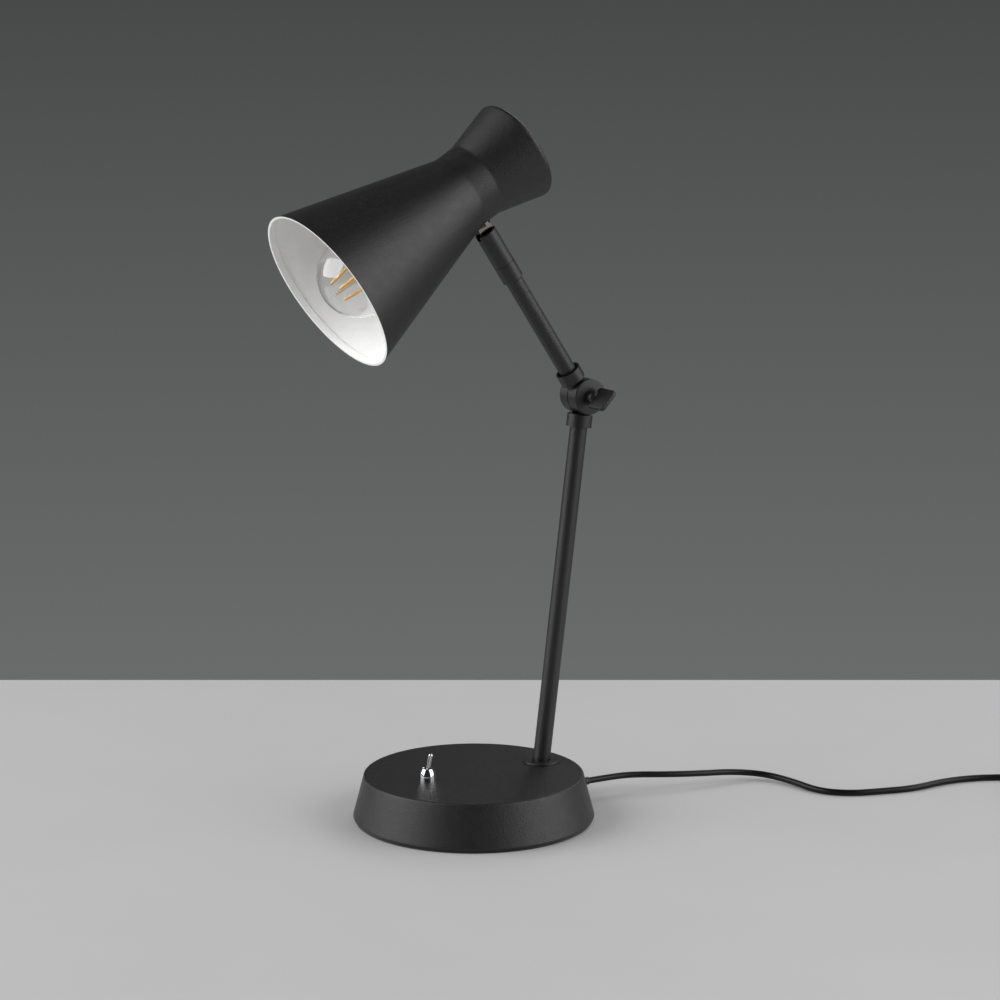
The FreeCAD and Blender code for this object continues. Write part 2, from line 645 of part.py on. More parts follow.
dome_nut = dome_outline().revolve(HERE, Z_AXIS, 360)
dome_nut.translate(Vec(SWITCH_X, 0, BASE_HEIGHT))
lever = turned([
    (0, -LEVER_TAIL),
    (LEVER_TAIL_RADIUS, -LEVER_TAIL),
    (LEVER_TAIL_RADIUS, -LEVER_BALL_RADIUS / 2),
    (LEVER_RADIUS, LEVER_BALL_RADIUS / 2),
    (LEVER_TIP_RADIUS, LEVER_LENGTH - LEVER_TIP_RADIUS),
    (0, LEVER_LENGTH - LEVER_TIP_RADIUS),
])
lever = lever.fuse(Part.makeSphere(LEVER_BALL_RADIUS))
tip = Part.makeSphere(LEVER_TIP_RADIUS)
tip.translate(Vec(0, 0, LEVER_LENGTH - LEVER_TIP_RADIUS))
lever = leaned(lever.fuse(tip), LEVER_THROW, Vec(SWITCH_X, 0, bush_top - LEVER_PIVOT_DEPTH))
save("switch_body", switch_body)
save("switch_bush", bush)
save("switch_jam_nut", jam_nut)
save("switch_terminals", *terminals)
save("switch_dome_nut", dome_nut)
save("switch_lever", lever)


# Elbow: two knuckle halves, each a disc, a cup for its tube and a hollow spigot
def knuckle_half(seam, face, face_round, dome):
    """One half with its arm along +Z; seam and face are values of y."""
    outward = 1 if face > seam else -1
    rim = Vec(ELBOW_RADIUS, 0, abs(face - seam) - dome)
    crown = Vec(0, 0, abs(face - seam))
    bulge = Vec(ELBOW_RADIUS / 2, 0, abs(face - seam) - dome / 4)
    edges = [
        Part.LineSegment(HERE, Vec(ELBOW_RADIUS, 0, 0)).toShape(),
        Part.LineSegment(Vec(ELBOW_RADIUS, 0, 0), rim).toShape(),
        Part.Arc(rim, bulge, crown).toShape(),
        Part.LineSegment(crown, HERE).toShape(),
    ]
    disc = Part.Face(Part.Wire(edges)).revolve(HERE, Z_AXIS, 360)
    disc = rounded(disc, face_round, ring_at(ELBOW_RADIUS, abs(face - seam) - dome))
    disc.rotate(HERE, X_AXIS, -90 * outward)
    disc.translate(Vec(0, seam, 0))
    neck = rod(KNUCKLE_NECK_RADIUS, RACE_INNER, COLLAR_START + PAST)
    keep_low = min(seam, face)
    keep_high = max(seam, face)
    neck = neck.common(block((-THROUGH, keep_low, 0), (THROUGH, keep_high, COLLAR_START + PAST)))
    collar = rod(COLLAR_RADIUS, COLLAR_START, COLLAR_END)
    collar = rounded(collar, COLLAR_ROUND, ring_at(COLLAR_RADIUS, COLLAR_START))
    cup = rod(COLLAR_RADIUS - COLLAR_LIP, TUBE_SEAT, COLLAR_END + PAST)
    spigot = rod(TUBE_BORE - SNUG, TUBE_SEAT - COLLAR_SKIN, TUBE_SEAT + SPIGOT_LENGTH)
    half = disc.fuse(neck).fuse(collar).cut(cup).fuse(spigot)
    race = cross_rod(RACE_OUTER, seam - RACE_DEPTH, seam + RACE_DEPTH)
    race = race.cut(cross_rod(RACE_INNER, seam - 2 * RACE_DEPTH, seam + 2 * RACE_DEPTH))
    half = half.cut(race)
    way_y = seam + outward * RACE_DEPTH / 2
    way_low = COLLAR_START + COLLAR_SKIN
    way_high = TUBE_SEAT - COLLAR_SKIN / 2
    half = half.cut(rod(LEAD_BORE, way_low, TUBE_SEAT + SPIGOT_LENGTH + PAST))
    half = half.cut(rod(LEAD_WAY, RACE_INNER + LEAD_WAY, way_high, 0, way_y))
    link = block((-LEAD_WAY, min(way_y, 0), way_low), (LEAD_WAY, max(way_y, 0), way_high))
    return half.cut(link)


seam_half = DISC_THICKNESS / 2
upper_knuckle = knuckle_half(
    ELBOW_SEAM_Y - seam_half, ELBOW_FRONT_Y, ELBOW_FRONT_ROUND, ELBOW_DOME)
screw_way = cross_rod(WING_SCREW_RADIUS + RUNNING, -THROUGH, THROUGH)
washer_seat = ELBOW_FRONT_Y + WING_WASHER_SINK
upper_knuckle = upper_knuckle.cut(screw_way)
upper_knuckle = upper_knuckle.cut(
    cross_rod(WING_WASHER_RADIUS + 4 * RUNNING, -THROUGH, washer_seat))
lower_knuckle = knuckle_half(
    ELBOW_SEAM_Y + seam_half, ELBOW_BACK_Y, ELBOW_BACK_ROUND, ELBOW_BACK_DOME)
lower_knuckle.rotate(HERE, Y_AXIS, 180)
lower_knuckle = lower_knuckle.cut(screw_way)
nut_low = ELBOW_BACK_Y - WING_NUT_SINK - WING_NUT_HEIGHT
nut_pocket = hexagon(WING_NUT_FLATS + 2 * SNUG, nut_low, THROUGH)
nut_pocket.rotate(HERE, X_AXIS, -90)
lower_knuckle = lower_knuckle.cut(nut_pocket)
knuckle_nut = hexagon(WING_NUT_FLATS, nut_low, nut_low + WING_NUT_HEIGHT)
knuckle_nut.rotate(HERE, X_AXIS, -90)
knuckle_nut = knuckle_nut.cut(screw_way)
disc_low = ELBOW_SEAM_Y - seam_half + FACE_GAP
friction_disc = cross_rod(DISC_RADIUS, disc_low, ELBOW_SEAM_Y + seam_half)
friction_disc = friction_disc.cut(cross_rod(RACE_OUTER + 2 * FACE_GAP, -THROUGH, THROUGH))
save("upper_knuckle", on_arm(upper_knuckle))
save("lower_knuckle", leaned(lower_knuckle, POLE_LEAN, ELBOW))
save("knuckle_nut", leaned(knuckle_nut, POLE_LEAN, ELBOW))
save("friction_disc", leaned(friction_disc, POLE_LEAN, ELBOW))

# Wing screw: threaded shank, round hub and a flat paddle, with its washer
wing = cross_rod(WING_SCREW_RADIUS, ELBOW_FRONT_Y, nut_low + WING_NUT_HEIGHT)
hub_base = washer_seat - WING_WASHER_THICKNESS - FACE_GAP
hub = cross_rod(WING_HUB_RADIUS, hub_base - WING_HUB_LENGTH, hub_base)
hub_end = hub_base - WING_HUB_LENGTH
hub = rounded(hub, WING_HUB_ROUND, lambda edge: abs(edge.BoundBox.YMax - hub_end) < SNUG)
paddle = block(
    (-WING_WIDTH / 2, ELBOW_FRONT_Y - WING_END, -WING_THICKNESS / 2),
    (WING_WIDTH / 2, ELBOW_FRONT_Y - WING_START, WING_THICKNESS / 2),
)
paddle = bevelled(paddle, WING_CORNER, lambda edge: edge.BoundBox.ZLength > PAST)
paddle = rounded(paddle, WING_EDGE_ROUND, lambda edge: edge.BoundBox.ZLength < SNUG)
paddle.rotate(HERE, Y_AXIS, -WING_TURN)
wing_screw = wing.fuse(hub).fuse(paddle)
wing_washer = cross_rod(WING_WASHER_RADIUS, washer_seat - WING_WASHER_THICKNESS, washer_seat)
wing_washer = wing_washer.cut(screw_way)
save("wing_screw", leaned(wing_screw, 0, ELBOW))
save("wing_washer", on_arm(wing_washer))

# Upper arm: tube, sleeve at its end and the hollow journal that the fork turns on
upper_tube = rod(TUBE_RADIUS, TUBE_SEAT, SLEEVE_STEP).cut(rod(TUBE_BORE, 0, SLEEVE_STEP + PAST))
sleeve = rod(SLEEVE_RADIUS, SLEEVE_START, SLEEVE_SEAM)
sleeve = bevelled(sleeve, SLEEVE_CHAMFER, ring_at(SLEEVE_RADIUS, SLEEVE_START))
sleeve = sleeve.cut(rod(TUBE_RADIUS + SNUG, 0, SLEEVE_STEP))
sleeve = sleeve.cut(rod(JOURNAL_RADIUS + SNUG, 0, SLEEVE_SEAM + PAST))
journal_end = SLEEVE_SEAM + JOURNAL_LENGTH
journal = rod(TUBE_BORE - SNUG, SLEEVE_START, SLEEVE_STEP)
journal = journal.fuse(rod(JOURNAL_RADIUS, SLEEVE_STEP, journal_end))
journal = journal.cut(rod(JOURNAL_BORE, 0, journal_end + PAST))
clip_low = journal_end - CLIP_FROM_END
clip_high = clip_low + CLIP_THICKNESS
groove = rod(SLEEVE_RADIUS, clip_low - FACE_GAP, clip_high + FACE_GAP)
groove_floor = rod(JOURNAL_RADIUS - CLIP_DEPTH, SLEEVE_SEAM, journal_end)
journal = journal.cut(groove.cut(groove_floor))
save("upper_tube", on_arm(upper_tube))
save("arm_sleeve", on_arm(sleeve))
save("swivel_journal", on_arm(journal))

# Fork: turns on the journal, held by a spring clip. Its open end is a cup with a slot
# for the shade's tab, deep on one side and a short notch on the other.
fork = rod(SLEEVE_RADIUS, SLEEVE_SEAM + SLEEVE_SEAM_GAP, FORK_END)
fork = rounded(fork, FORK_END_ROUND, ring_at(SLEEVE_RADIUS, FORK_END))
fork = fork.cut(rod(JOURNAL_RADIUS + RUNNING, 0, journal_end + 4 * FACE_GAP))
fork = fork.cut(rod(JOURNAL_RADIUS + CLIP_DEPTH, clip_low, clip_high))
fork = fork.cut(rod(FORK_CUP_RADIUS, FORK_END - FORK_CUP_DEPTH, FORK_END + PAST))
slot_floor = ARM_REACH - FORK_SLOT_FLOOR
slot = block((-FORK_CUP_RADIUS, -FORK_SLOT / 2, slot_floor), (THROUGH, FORK_SLOT / 2, FORK_END + PAST))
notch = block((-THROUGH, -FORK_SLOT / 2, FORK_END - FORK_NOTCH_DEPTH), (0, FORK_SLOT / 2, FORK_END + PAST))
fork = fork.cut(slot).cut(notch)
fork = fork.cut(rod(JOURNAL_BORE, 0, slot_floor + PAST))
stud_front = PIVOT_SKIN - SLEEVE_RADIUS
nut_face = SLEEVE_RADIUS - PIVOT_SINK
nut_seat = nut_face - PIVOT_NUT_HEIGHT
nut_room = PIVOT_NUT_FLATS / 2 + PIVOT_NUT_ROOM
fork = fork.cut(cross_rod(PIVOT_RADIUS + SNUG, stud_front, THROUGH, 0, ARM_REACH))
fork = fork.cut(cross_rod(nut_room, nut_seat, THROUGH, 0, ARM_REACH))
clip = rod(JOURNAL_RADIUS + CLIP_DEPTH - SNUG, clip_low, clip_high)
clip = clip.cut(rod(JOURNAL_RADIUS - CLIP_DEPTH + 2 * RUNNING, 0, clip_high + PAST))
clip = clip.cut(block((0, -CLIP_GAP / 2, 0), (THROUGH, CLIP_GAP / 2, clip_high + PAST)))
pivot = cross_rod(PIVOT_RADIUS, stud_front, nut_face, 0, ARM_REACH)
drive = hexagon(PIVOT_DRIVE, nut_face - PIVOT_DRIVE_DEPTH, nut_face)
drive.rotate(HERE, X_AXIS, -90)
drive.translate(Vec(0, 0, ARM_REACH))
pivot = pivot.cut(drive)
pivot_nut = hexagon(PIVOT_NUT_FLATS, nut_seat, nut_face)
pivot_nut.rotate(HERE, X_AXIS, -90)
pivot_nut.translate(Vec(0, 0, ARM_REACH))
pivot_nut = pivot_nut.cut(cross_rod(PIVOT_RADIUS + SNUG, -THROUGH, THROUGH, 0, ARM_REACH))
save("fork", on_arm(fork))
save("swivel_clip", on_arm(clip))
save("pivot_screw", on_arm(pivot))
save("pivot_nut", on_arm(pivot_nut))


# Shade: one spun shell, cone, waist and flared tail, with a folded hem at the rim
NECK_START = CONE_LENGTH
NECK_END = CONE_LENGTH + NECK_LENGTH
TAIL_END = NECK_END + TAIL_LENGTH
CONE_SLOPE = (RIM_RADIUS - NECK_RADIUS) / CONE_LENGTH


def shade_form(inset, rim_z):
    """The shade as a filled form, its skin moved in by inset and starting at rim_z."""
    tail_slope = (TAIL_RADIUS - NECK_RADIUS) / TAIL_LENGTH
    lean_in = inset * math.hypot(1, CONE_SLOPE)
    tail_in = inset * math.hypot(1, tail_slope)
    front = RIM_RADIUS - lean_in - CONE_SLOPE * rim_z
    neck = NECK_RADIUS - inset
    neck_start = NECK_START - (lean_in - inset) / CONE_SLOPE
    neck_end = NECK_END + (tail_in - inset) / tail_slope
    tail_z = TAIL_END - inset
    tail = TAIL_RADIUS - tail_in - tail_slope * inset
    crown = Vec(0, 0, tail_z + TAIL_DOME)
    edge = Vec(tail, 0, tail_z)
    middle = Vec(tail * 0.5, 0, tail_z + TAIL_DOME * 0.75)
    corners = [Vec(0, 0, rim_z), Vec(front, 0, rim_z), Vec(neck, 0, neck_start),
               Vec(neck, 0, neck_end), edge]
    edges = [Part.LineSegment(a, b).toShape() for a, b in zip(corners, corners[1:])]
    edges.append(Part.Arc(edge, middle, crown).toShape())
    edges.append(Part.LineSegment(crown, corners[0]).toShape())
    form = Part.Face(Part.Wire(edges)).revolve(HERE, Z_AXIS, 360)
    form = rounded(form, WAIST_ROUND + inset, ring_at(neck, neck_start))
    form = rounded(form, WAIST_ROUND + inset, ring_at(neck, neck_end))
    return rounded(form, TAIL_ROUND - inset, ring_at(tail, tail_z))


shade = shade_form(0, 0).cut(shade_form(SHADE_WALL, -PAST))
hem_low = RIM_RADIUS - HEM_OVERLAP
hem_high = RIM_RADIUS - CONE_SLOPE * HEM_WIDTH - HEM_OVERLAP
hem = turned([
    (hem_low, 0),
    (hem_low - HEM_THICKNESS, 0),
    (hem_high - HEM_THICKNESS, HEM_WIDTH),
    (hem_high, HEM_WIDTH),
])
hem = rounded(hem, SHADE_WALL / 2, ring_at(hem_low - HEM_THICKNESS, 0))
shade = shade.fuse(hem)
stem_hole = side_rod(STEM_RADIUS + SNUG, 0, PIN_OFFSET, 0, PIN_STATION)
shade = shade.cut(stem_hole)
save("shade", on_shade(shade))

# Shade knuckle: chromed tab on a hollow threaded stem, with saddle, strip and nut
tab_half = TAB_THICKNESS / 2
tab = cross_rod(TAB_ROUND, -tab_half, tab_half, PIN_OFFSET, PIN_STATION)
tab_root = NECK_RADIUS - SADDLE_HEIGHT
tab = tab.fuse(block((tab_root, -tab_half, PIN_STATION - TAB_ROUND),
                     (PIN_OFFSET, tab_half, PIN_STATION + TAB_ROUND)))
flange = side_rod(TAB_FLANGE_RADIUS, tab_root, NECK_RADIUS + TAB_FLANGE_HEIGHT, 0, PIN_STATION)
tab = tab.fuse(flange)
tab = tab.cut(shade_form(-SNUG, 0))
stem_end = NECK_RADIUS - STEM_REACH
tab = tab.fuse(side_rod(STEM_RADIUS, stem_end, NECK_RADIUS + PAST, 0, PIN_STATION))
bore_end = PIN_OFFSET - PIVOT_RADIUS - 4 * WIRE_WAY
tab = tab.cut(side_rod(STEM_BORE, stem_end - PAST, bore_end, 0, PIN_STATION))
for side in (-1, 1):
    way = side_rod(WIRE_WAY, 0, 2 * TAB_ROUND + PIVOT_RADIUS)
    way.rotate(HERE, Y_AXIS, side * WIRE_WAY_SLANT)
    way.translate(Vec(bore_end - WIRE_WAY, 0, PIN_STATION - side * WIRE_WAY))
    tab = tab.cut(way)
tab = tab.cut(cross_rod(PIVOT_RADIUS + RUNNING, -THROUGH, THROUGH, PIN_OFFSET, PIN_STATION))
inner_neck = NECK_RADIUS - SHADE_WALL
saddle = side_rod(SADDLE_RADIUS, inner_neck - SADDLE_HEIGHT, inner_neck, 0, PIN_STATION)
saddle = saddle.common(shade_form(SHADE_WALL + SNUG, 0))
saddle = saddle.cut(side_rod(STEM_RADIUS + SNUG, 0, PIN_OFFSET, 0, PIN_STATION))
save("shade_tab", on_shade(tab))
save("saddle_washer", on_shade(saddle))


# Strip, nuts and nipple that carry the lampholder on the stem
strip_out = inner_neck - SADDLE_HEIGHT
strip_in = strip_out - STRIP_THICKNESS
leg_low = PIN_STATION + SADDLE_RADIUS + LEG_ROOM
leg_high = leg_low + STRIP_THICKNESS
strip_outline = [
    (strip_in, PIN_STATION - SADDLE_RADIUS),
    (strip_out, PIN_STATION - SADDLE_RADIUS),
    (strip_out, leg_high),
    (BULB_OFFSET - SADDLE_RADIUS, leg_high),
    (BULB_OFFSET - SADDLE_RADIUS, leg_low),
    (strip_in, leg_low),
]
corners = [Vec(x, -STRIP_WIDTH / 2, z) for x, z in strip_outline]
strip = Part.Face(Part.makePolygon(corners + [corners[0]])).extrude(Vec(0, STRIP_WIDTH, 0))
strip = rounded(strip, STRIP_BEND, lambda edge: edge.BoundBox.XMin > strip_out - SNUG
                and edge.BoundBox.ZMin > leg_high - SNUG)
strip = strip.cut(side_rod(STEM_RADIUS + SNUG, 0, strip_out + PAST, 0, PIN_STATION))
for radius, x in ((HOLDER_NIPPLE_RADIUS + SNUG, BULB_OFFSET), (STRIP_EYE, STRIP_EYE_X)):
    strip = strip.cut(rod(radius, leg_low - PAST, leg_high + PAST, x))
stem_nut = hexagon(STEM_NUT_FLATS, 0, STEM_NUT_HEIGHT)
stem_nut.rotate(HERE, Y_AXIS, 90)
stem_nut.translate(Vec(strip_in - STEM_NUT_HEIGHT, 0, PIN_STATION))
stem_nut = stem_nut.cut(side_rod(STEM_RADIUS + SNUG, 0, PIN_OFFSET, 0, PIN_STATION))
save("holder_strip", on_shade(strip))
save("stem_nut", on_shade(stem_nut))


def on_bulb(shape):
    """Place a piece made round the bulb's own axis, which is level with the shade's."""
    moved = shape.copy()
    moved.translate(Vec(BULB_OFFSET, 0, 0))
    return on_shade(moved)


holder_rear = HOLDER_MOUTH + HOLDER_LENGTH
nipple_low = holder_rear - HOLDER_REAR_LENGTH + HOLDER_ROUND
nipple_high = leg_high + HOLDER_NUT_HEIGHT + HOLDER_NIPPLE_SHOW
holder_nipple = rod(HOLDER_NIPPLE_RADIUS, nipple_low, nipple_high)
holder_nipple = holder_nipple.cut(rod(HOLDER_NIPPLE_BORE, 0, nipple_high + PAST))
holder_nuts = []
for nut_height in (leg_low - HOLDER_NUT_HEIGHT, leg_high):
    nut = hexagon(HOLDER_NUT_FLATS, nut_height, nut_height + HOLDER_NUT_HEIGHT)
    holder_nuts.append(on_bulb(nut.cut(rod(HOLDER_NIPPLE_RADIUS + SNUG, 0, nipple_high + PAST))))
save("holder_nipple", on_bulb(holder_nipple))
save("holder_nuts", *holder_nuts)

# Lampholder: moulded body, threaded brass shell and spring contact
thread_inner = CAP_RADIUS + SNUG
thread_outer = thread_inner + SHELL_WALL
floor_low = GLOBE_CENTRE - GLOBE_RADIUS + BULB_LENGTH + CONTACT_ROOM
rear_start = holder_rear - HOLDER_REAR_LENGTH
holder = turned([
    (thread_outer + SNUG, HOLDER_MOUTH),
    (HOLDER_RADIUS, HOLDER_MOUTH),
    (HOLDER_RADIUS, rear_start),
    (HOLDER_REAR_RADIUS, rear_start),
    (HOLDER_REAR_RADIUS, holder_rear),
    (0, holder_rear),
    (0, floor_low),
    (thread_outer + SNUG, floor_low),
])
holder = rounded(holder, HOLDER_ROUND, ring_at(HOLDER_RADIUS, rear_start))
holder = rounded(holder, HOLDER_ROUND / 3, ring_at(HOLDER_RADIUS, HOLDER_MOUTH))
holder = rounded(holder, HOLDER_ROUND / 3, ring_at(HOLDER_REAR_RADIUS, holder_rear))
holder = holder.cut(rod(HOLDER_NIPPLE_RADIUS + SNUG, nipple_low, holder_rear + PAST))
holder = holder.cut(rod(STEM_BORE, floor_low - PAST, nipple_low + PAST))
thread = rod(thread_outer, HOLDER_MOUTH + SHELL_INSET, HOLDER_MOUTH + SHELL_INSET + SHELL_LENGTH)
thread = thread.cut(rod(thread_inner, 0, holder_rear))
tongue_x, tongue_y, tongue_z = CONTACT_TONGUE
contact_top = floor_low - CONTACT_ROOM + SNUG
tongue = block((-tongue_x / 2, -tongue_y / 2, contact_top),
               (tongue_x / 2, tongue_y / 2, contact_top + tongue_z))
leg = block((tongue_x / 2 - tongue_z, -tongue_y / 2, contact_top),
            (tongue_x / 2, tongue_y / 2, floor_low))
foot = block((tongue_x / 2 - tongue_z, -tongue_y / 2, floor_low - tongue_z),
             (tongue_x, tongue_y / 2, floor_low))
save("holder_body", on_bulb(holder))
save("holder_thread", on_bulb(thread))
save("holder_contact", on_bulb(tongue.fuse(leg).fuse(foot)))

# Filament bulb: glass, cap with its insulator and contact, stem, wires and filaments
BULB_TIP = GLOBE_CENTRE - GLOBE_RADIUS
cap_rear = BULB_TIP + BULB_LENGTH - CAP_CONTACT_HEIGHT - CAP_SEAL_HEIGHT
cap_front = cap_rear - CAP_LENGTH


def glass_form(inset):
    """The bulb's glass as a filled form: globe, blend and neck, moved in by inset."""
    globe = GLOBE_RADIUS - inset
    neck = GLASS_NECK_RADIUS - CAP_WALL - SNUG - inset
    turn = math.radians(GLOBE_BLEND_ANGLE)
    front = Vec(0, 0, GLOBE_CENTRE - globe)
    side = Vec(globe, 0, GLOBE_CENTRE)
    blend = Vec(globe * math.cos(turn), 0, GLOBE_CENTRE + globe * math.sin(turn))
    middle = Vec(globe * math.sin(turn), 0, GLOBE_CENTRE - globe * math.cos(turn))
    step = 0.36 * (cap_front - blend.z)
    first = blend + Vec(-math.sin(turn), 0, math.cos(turn)) * step
    throat = Vec(neck, 0, cap_front)
    second = throat - Vec(0, 0, step)
    end = Vec(neck, 0, cap_front + GLASS_IN_CAP)
    blend_curve = Part.BezierCurve()
    blend_curve.setPoles([blend, first, second, throat])
    edges = [
        Part.Arc(front, middle, blend).toShape(),
        blend_curve.toShape(),
        Part.LineSegment(throat, end).toShape(),
        Part.LineSegment(end, Vec(0, 0, end.z)).toShape(),
        Part.LineSegment(Vec(0, 0, end.z), front).toShape(),
    ]
    return Part.Face(Part.Wire(edges)).revolve(HERE, Z_AXIS, 360)


glass = glass_form(0).cut(glass_form(GLASS_WALL))
neck_bore = GLASS_NECK_RADIUS - CAP_WALL - SNUG - GLASS_WALL
flare_rear = cap_front + GLASS_IN_CAP
glass = glass.cut(rod(neck_bore, flare_rear - PAST, flare_rear + PAST))
stem = turned([
    (0, flare_rear),
    (neck_bore - SNUG, flare_rear),
    (neck_bore - SNUG, flare_rear - STEM_FLARE_RIM),
    (STEM_TUBE_RADIUS, flare_rear - STEM_FLARE_LENGTH),
    (STEM_TUBE_RADIUS, STEM_PRESS_FRONT),
    (GLASS_ROD_RADIUS, STEM_PRESS_FRONT),
    (GLASS_ROD_RADIUS, FILAMENT_FRONT - STEM_ROD_LEAD),
    (0, FILAMENT_FRONT - STEM_ROD_LEAD),
])
press_trim = 2 * STEM_TUBE_RADIUS
for side in (-1, 1):
    low_y = min(side * STEM_PRESS_HALF, side * press_trim)
    high_y = max(side * STEM_PRESS_HALF, side * press_trim)
    stem = stem.cut(block((-press_trim, low_y, STEM_PRESS_FRONT),
                          (press_trim, high_y, STEM_PRESS_FRONT + STEM_PRESS_LENGTH)))
cap = rod(CAP_RADIUS, cap_front, cap_rear)
cap = rounded(cap, CAP_ROUND, ring_at(CAP_RADIUS, cap_rear))
cap_inner = CAP_RADIUS - CAP_WALL
cap_hollow = rod(cap_inner, cap_front - PAST, cap_rear - CAP_WALL)
cap_hollow = rounded(cap_hollow, CAP_ROUND - CAP_WALL, ring_at(cap_inner, cap_rear - CAP_WALL))
cap = cap.cut(cap_hollow).cut(rod(CAP_SEAL_RADIUS + SNUG, cap_front, cap_rear + PAST))
insulator = turned([
    (0, cap_rear - 2 * CAP_WALL),
    (CAP_SEAL_RADIUS, cap_rear - 2 * CAP_WALL),
    (CAP_SEAL_RADIUS, cap_rear),
    (CAP_CONTACT_RADIUS, cap_rear + CAP_SEAL_HEIGHT),
    (0, cap_rear + CAP_SEAL_HEIGHT),
])
cap_contact = rod(CAP_CONTACT_RADIUS, cap_rear + CAP_SEAL_HEIGHT,
                  cap_rear + CAP_SEAL_HEIGHT + CAP_CONTACT_HEIGHT)
cap_contact = rounded(cap_contact, CAP_CONTACT_HEIGHT / 2,
                      ring_at(CAP_CONTACT_RADIUS, cap_rear + CAP_SEAL_HEIGHT + CAP_CONTACT_HEIGHT))
save("bulb_glass", on_bulb(glass))
save("bulb_stem", on_bulb(stem))
save("bulb_cap", on_bulb(cap))
save("bulb_insulator", on_bulb(insulator))
save("bulb_contact", on_bulb(cap_contact))

spread = math.radians(FILAMENT_SPREAD)
filaments = []
fronts = []
rears = []
for index in range(FILAMENT_COUNT):
    turn = math.radians(FILAMENT_TURN + 360 / FILAMENT_COUNT * index)
    outward = Vec(math.cos(turn), math.sin(turn), 0)
    front = outward * FILAMENT_FRONT_RADIUS + Vec(0, 0, FILAMENT_FRONT)
    heading = outward * math.sin(spread) + Vec(0, 0, math.cos(spread))
    filaments.append(Part.makeCylinder(FILAMENT_RADIUS, FILAMENT_LENGTH, front, heading))
    fronts.append(front - heading * WIRE_RADIUS)
    rears.append(front + heading * (FILAMENT_LENGTH + WIRE_RADIUS))


def wire(start, end):
    """A short straight wire with round ends."""
    reach = end - start
    bar = Part.makeCylinder(WIRE_RADIUS, reach.Length, start, reach)
    ends = [Part.makeSphere(WIRE_RADIUS, place) for place in (start, end)]
    return bar.fuse(ends[0]).fuse(ends[1])


rod_tip = Vec(0, 0, FILAMENT_FRONT - STEM_ROD_LEAD + GLASS_ROD_RADIUS)
press_side = Vec(STEM_TUBE_RADIUS - WIRE_RADIUS, 0, STEM_PRESS_FRONT)
front_wires = wire(rod_tip, fronts[0])
for front in fronts[1:]:
    front_wires = front_wires.fuse(wire(rod_tip, front))
bulb_wires = [front_wires]
for index, side in ((0, 1), (1, -1)):
    bulb_wires.append(wire(rears[index], Vec(side * press_side.x, 0, press_side.z)))
for index, side in ((3, 1), (2, -1)):
    bulb_wires.append(wire(rears[index], Vec(side * press_side.x / 2, -STEM_PRESS_HALF / 2, press_side.z)))
trimmed = []
for piece in bulb_wires:
    for solid in filaments + [stem]:
        piece = piece.cut(solid)
    trimmed.append(on_bulb(max(piece.Solids, key=lambda solid: solid.Volume)))
save("bulb_filaments", *[on_bulb(filament) for filament in filaments])
save("bulb_wires", *trimmed)


# Soft round things follow runs joined by arcs
def eased(points):
    """A wire of straight runs and tangent arcs, and the arcs' radii."""
    places = [Vec(*point) for point in points]
    edges = []
    radii = []
    start = places[0]
    for before, corner, after in zip(places, places[1:], places[2:]):
        incoming = corner - before
        outgoing = after - corner
        half_turn = incoming.getAngle(outgoing) / 2
        reach = 0.45 * min(incoming.Length, outgoing.Length)
        radius = reach / math.tan(half_turn)
        arc_start = corner - incoming.normalize() * reach
        arc_end = corner + outgoing.normalize() * reach
        inward = (arc_start + arc_end) * 0.5 - corner
        to_arc = radius / math.cos(half_turn) - radius
        middle = corner + inward.normalize() * to_arc
        edges.append(Part.LineSegment(start, arc_start).toShape())
        edges.append(Part.Arc(arc_start, middle, arc_end).toShape())
        radii.append(radius)
        start = arc_end
    edges.append(Part.LineSegment(start, places[-1]).toShape())
    return Part.Wire(edges), radii


def tube(path, radius):
    """A round solid swept along a wire."""
    first = path.OrderedEdges[0]
    start = first.valueAt(first.FirstParameter)
    heading = first.tangentAt(first.FirstParameter)
    profile = Part.Wire([Part.makeCircle(radius, start, heading)])
    return path.makePipeShell([profile], True, False)


# Mains lead inside the base, its clamp, gland and terminal block
exit_z = CORD_EXIT_HEIGHT
block_x, block_y, block_z = BLOCK_SIZE
block_low = (POLE_FOOT_X - block_x / 2, -block_y / 2, PLATE_TOP)
block_high = (POLE_FOOT_X + block_x / 2, block_y / 2, PLATE_TOP + block_z)
terminal_block = block(block_low, block_high)
terminal_block = rounded(terminal_block, BLOCK_ROUND, lambda edge: edge.BoundBox.ZLength > PAST)
for side in (-1, 1):
    block_way = rod(BLOCK_SCREW_RADIUS, block_high[2] - BLOCK_SCREW_DEPTH, block_high[2] + PAST,
                    POLE_FOOT_X, side * BLOCK_SCREW_SPREAD)
    terminal_block = terminal_block.cut(block_way)
mains_lead = side_rod(LEAD_RADIUS, block_high[0], GLAND_NOSE, 0, exit_z)
clamp = block((CLAMP_X - CLAMP_LENGTH / 2, -CLAMP_WIDTH / 2, PLATE_TOP),
              (CLAMP_X + CLAMP_LENGTH / 2, CLAMP_WIDTH / 2, CLAMP_TOP))
clamp = rounded(clamp, CLAMP_ROUND, lambda edge: edge.BoundBox.ZMin > CLAMP_TOP - SNUG
                and edge.BoundBox.XLength > PAST)
clamp = clamp.cut(side_rod(LEAD_RADIUS + SNUG, CLAMP_X - CLAMP_LENGTH, GLAND_START, 0, exit_z))
clamp = clamp.cut(block((CLAMP_X - CLAMP_LENGTH, 0, exit_z - CLAMP_SLIT / 2),
                        (CLAMP_X + CLAMP_LENGTH, CLAMP_WIDTH, exit_z + CLAMP_SLIT / 2)))
clamp_screws = []
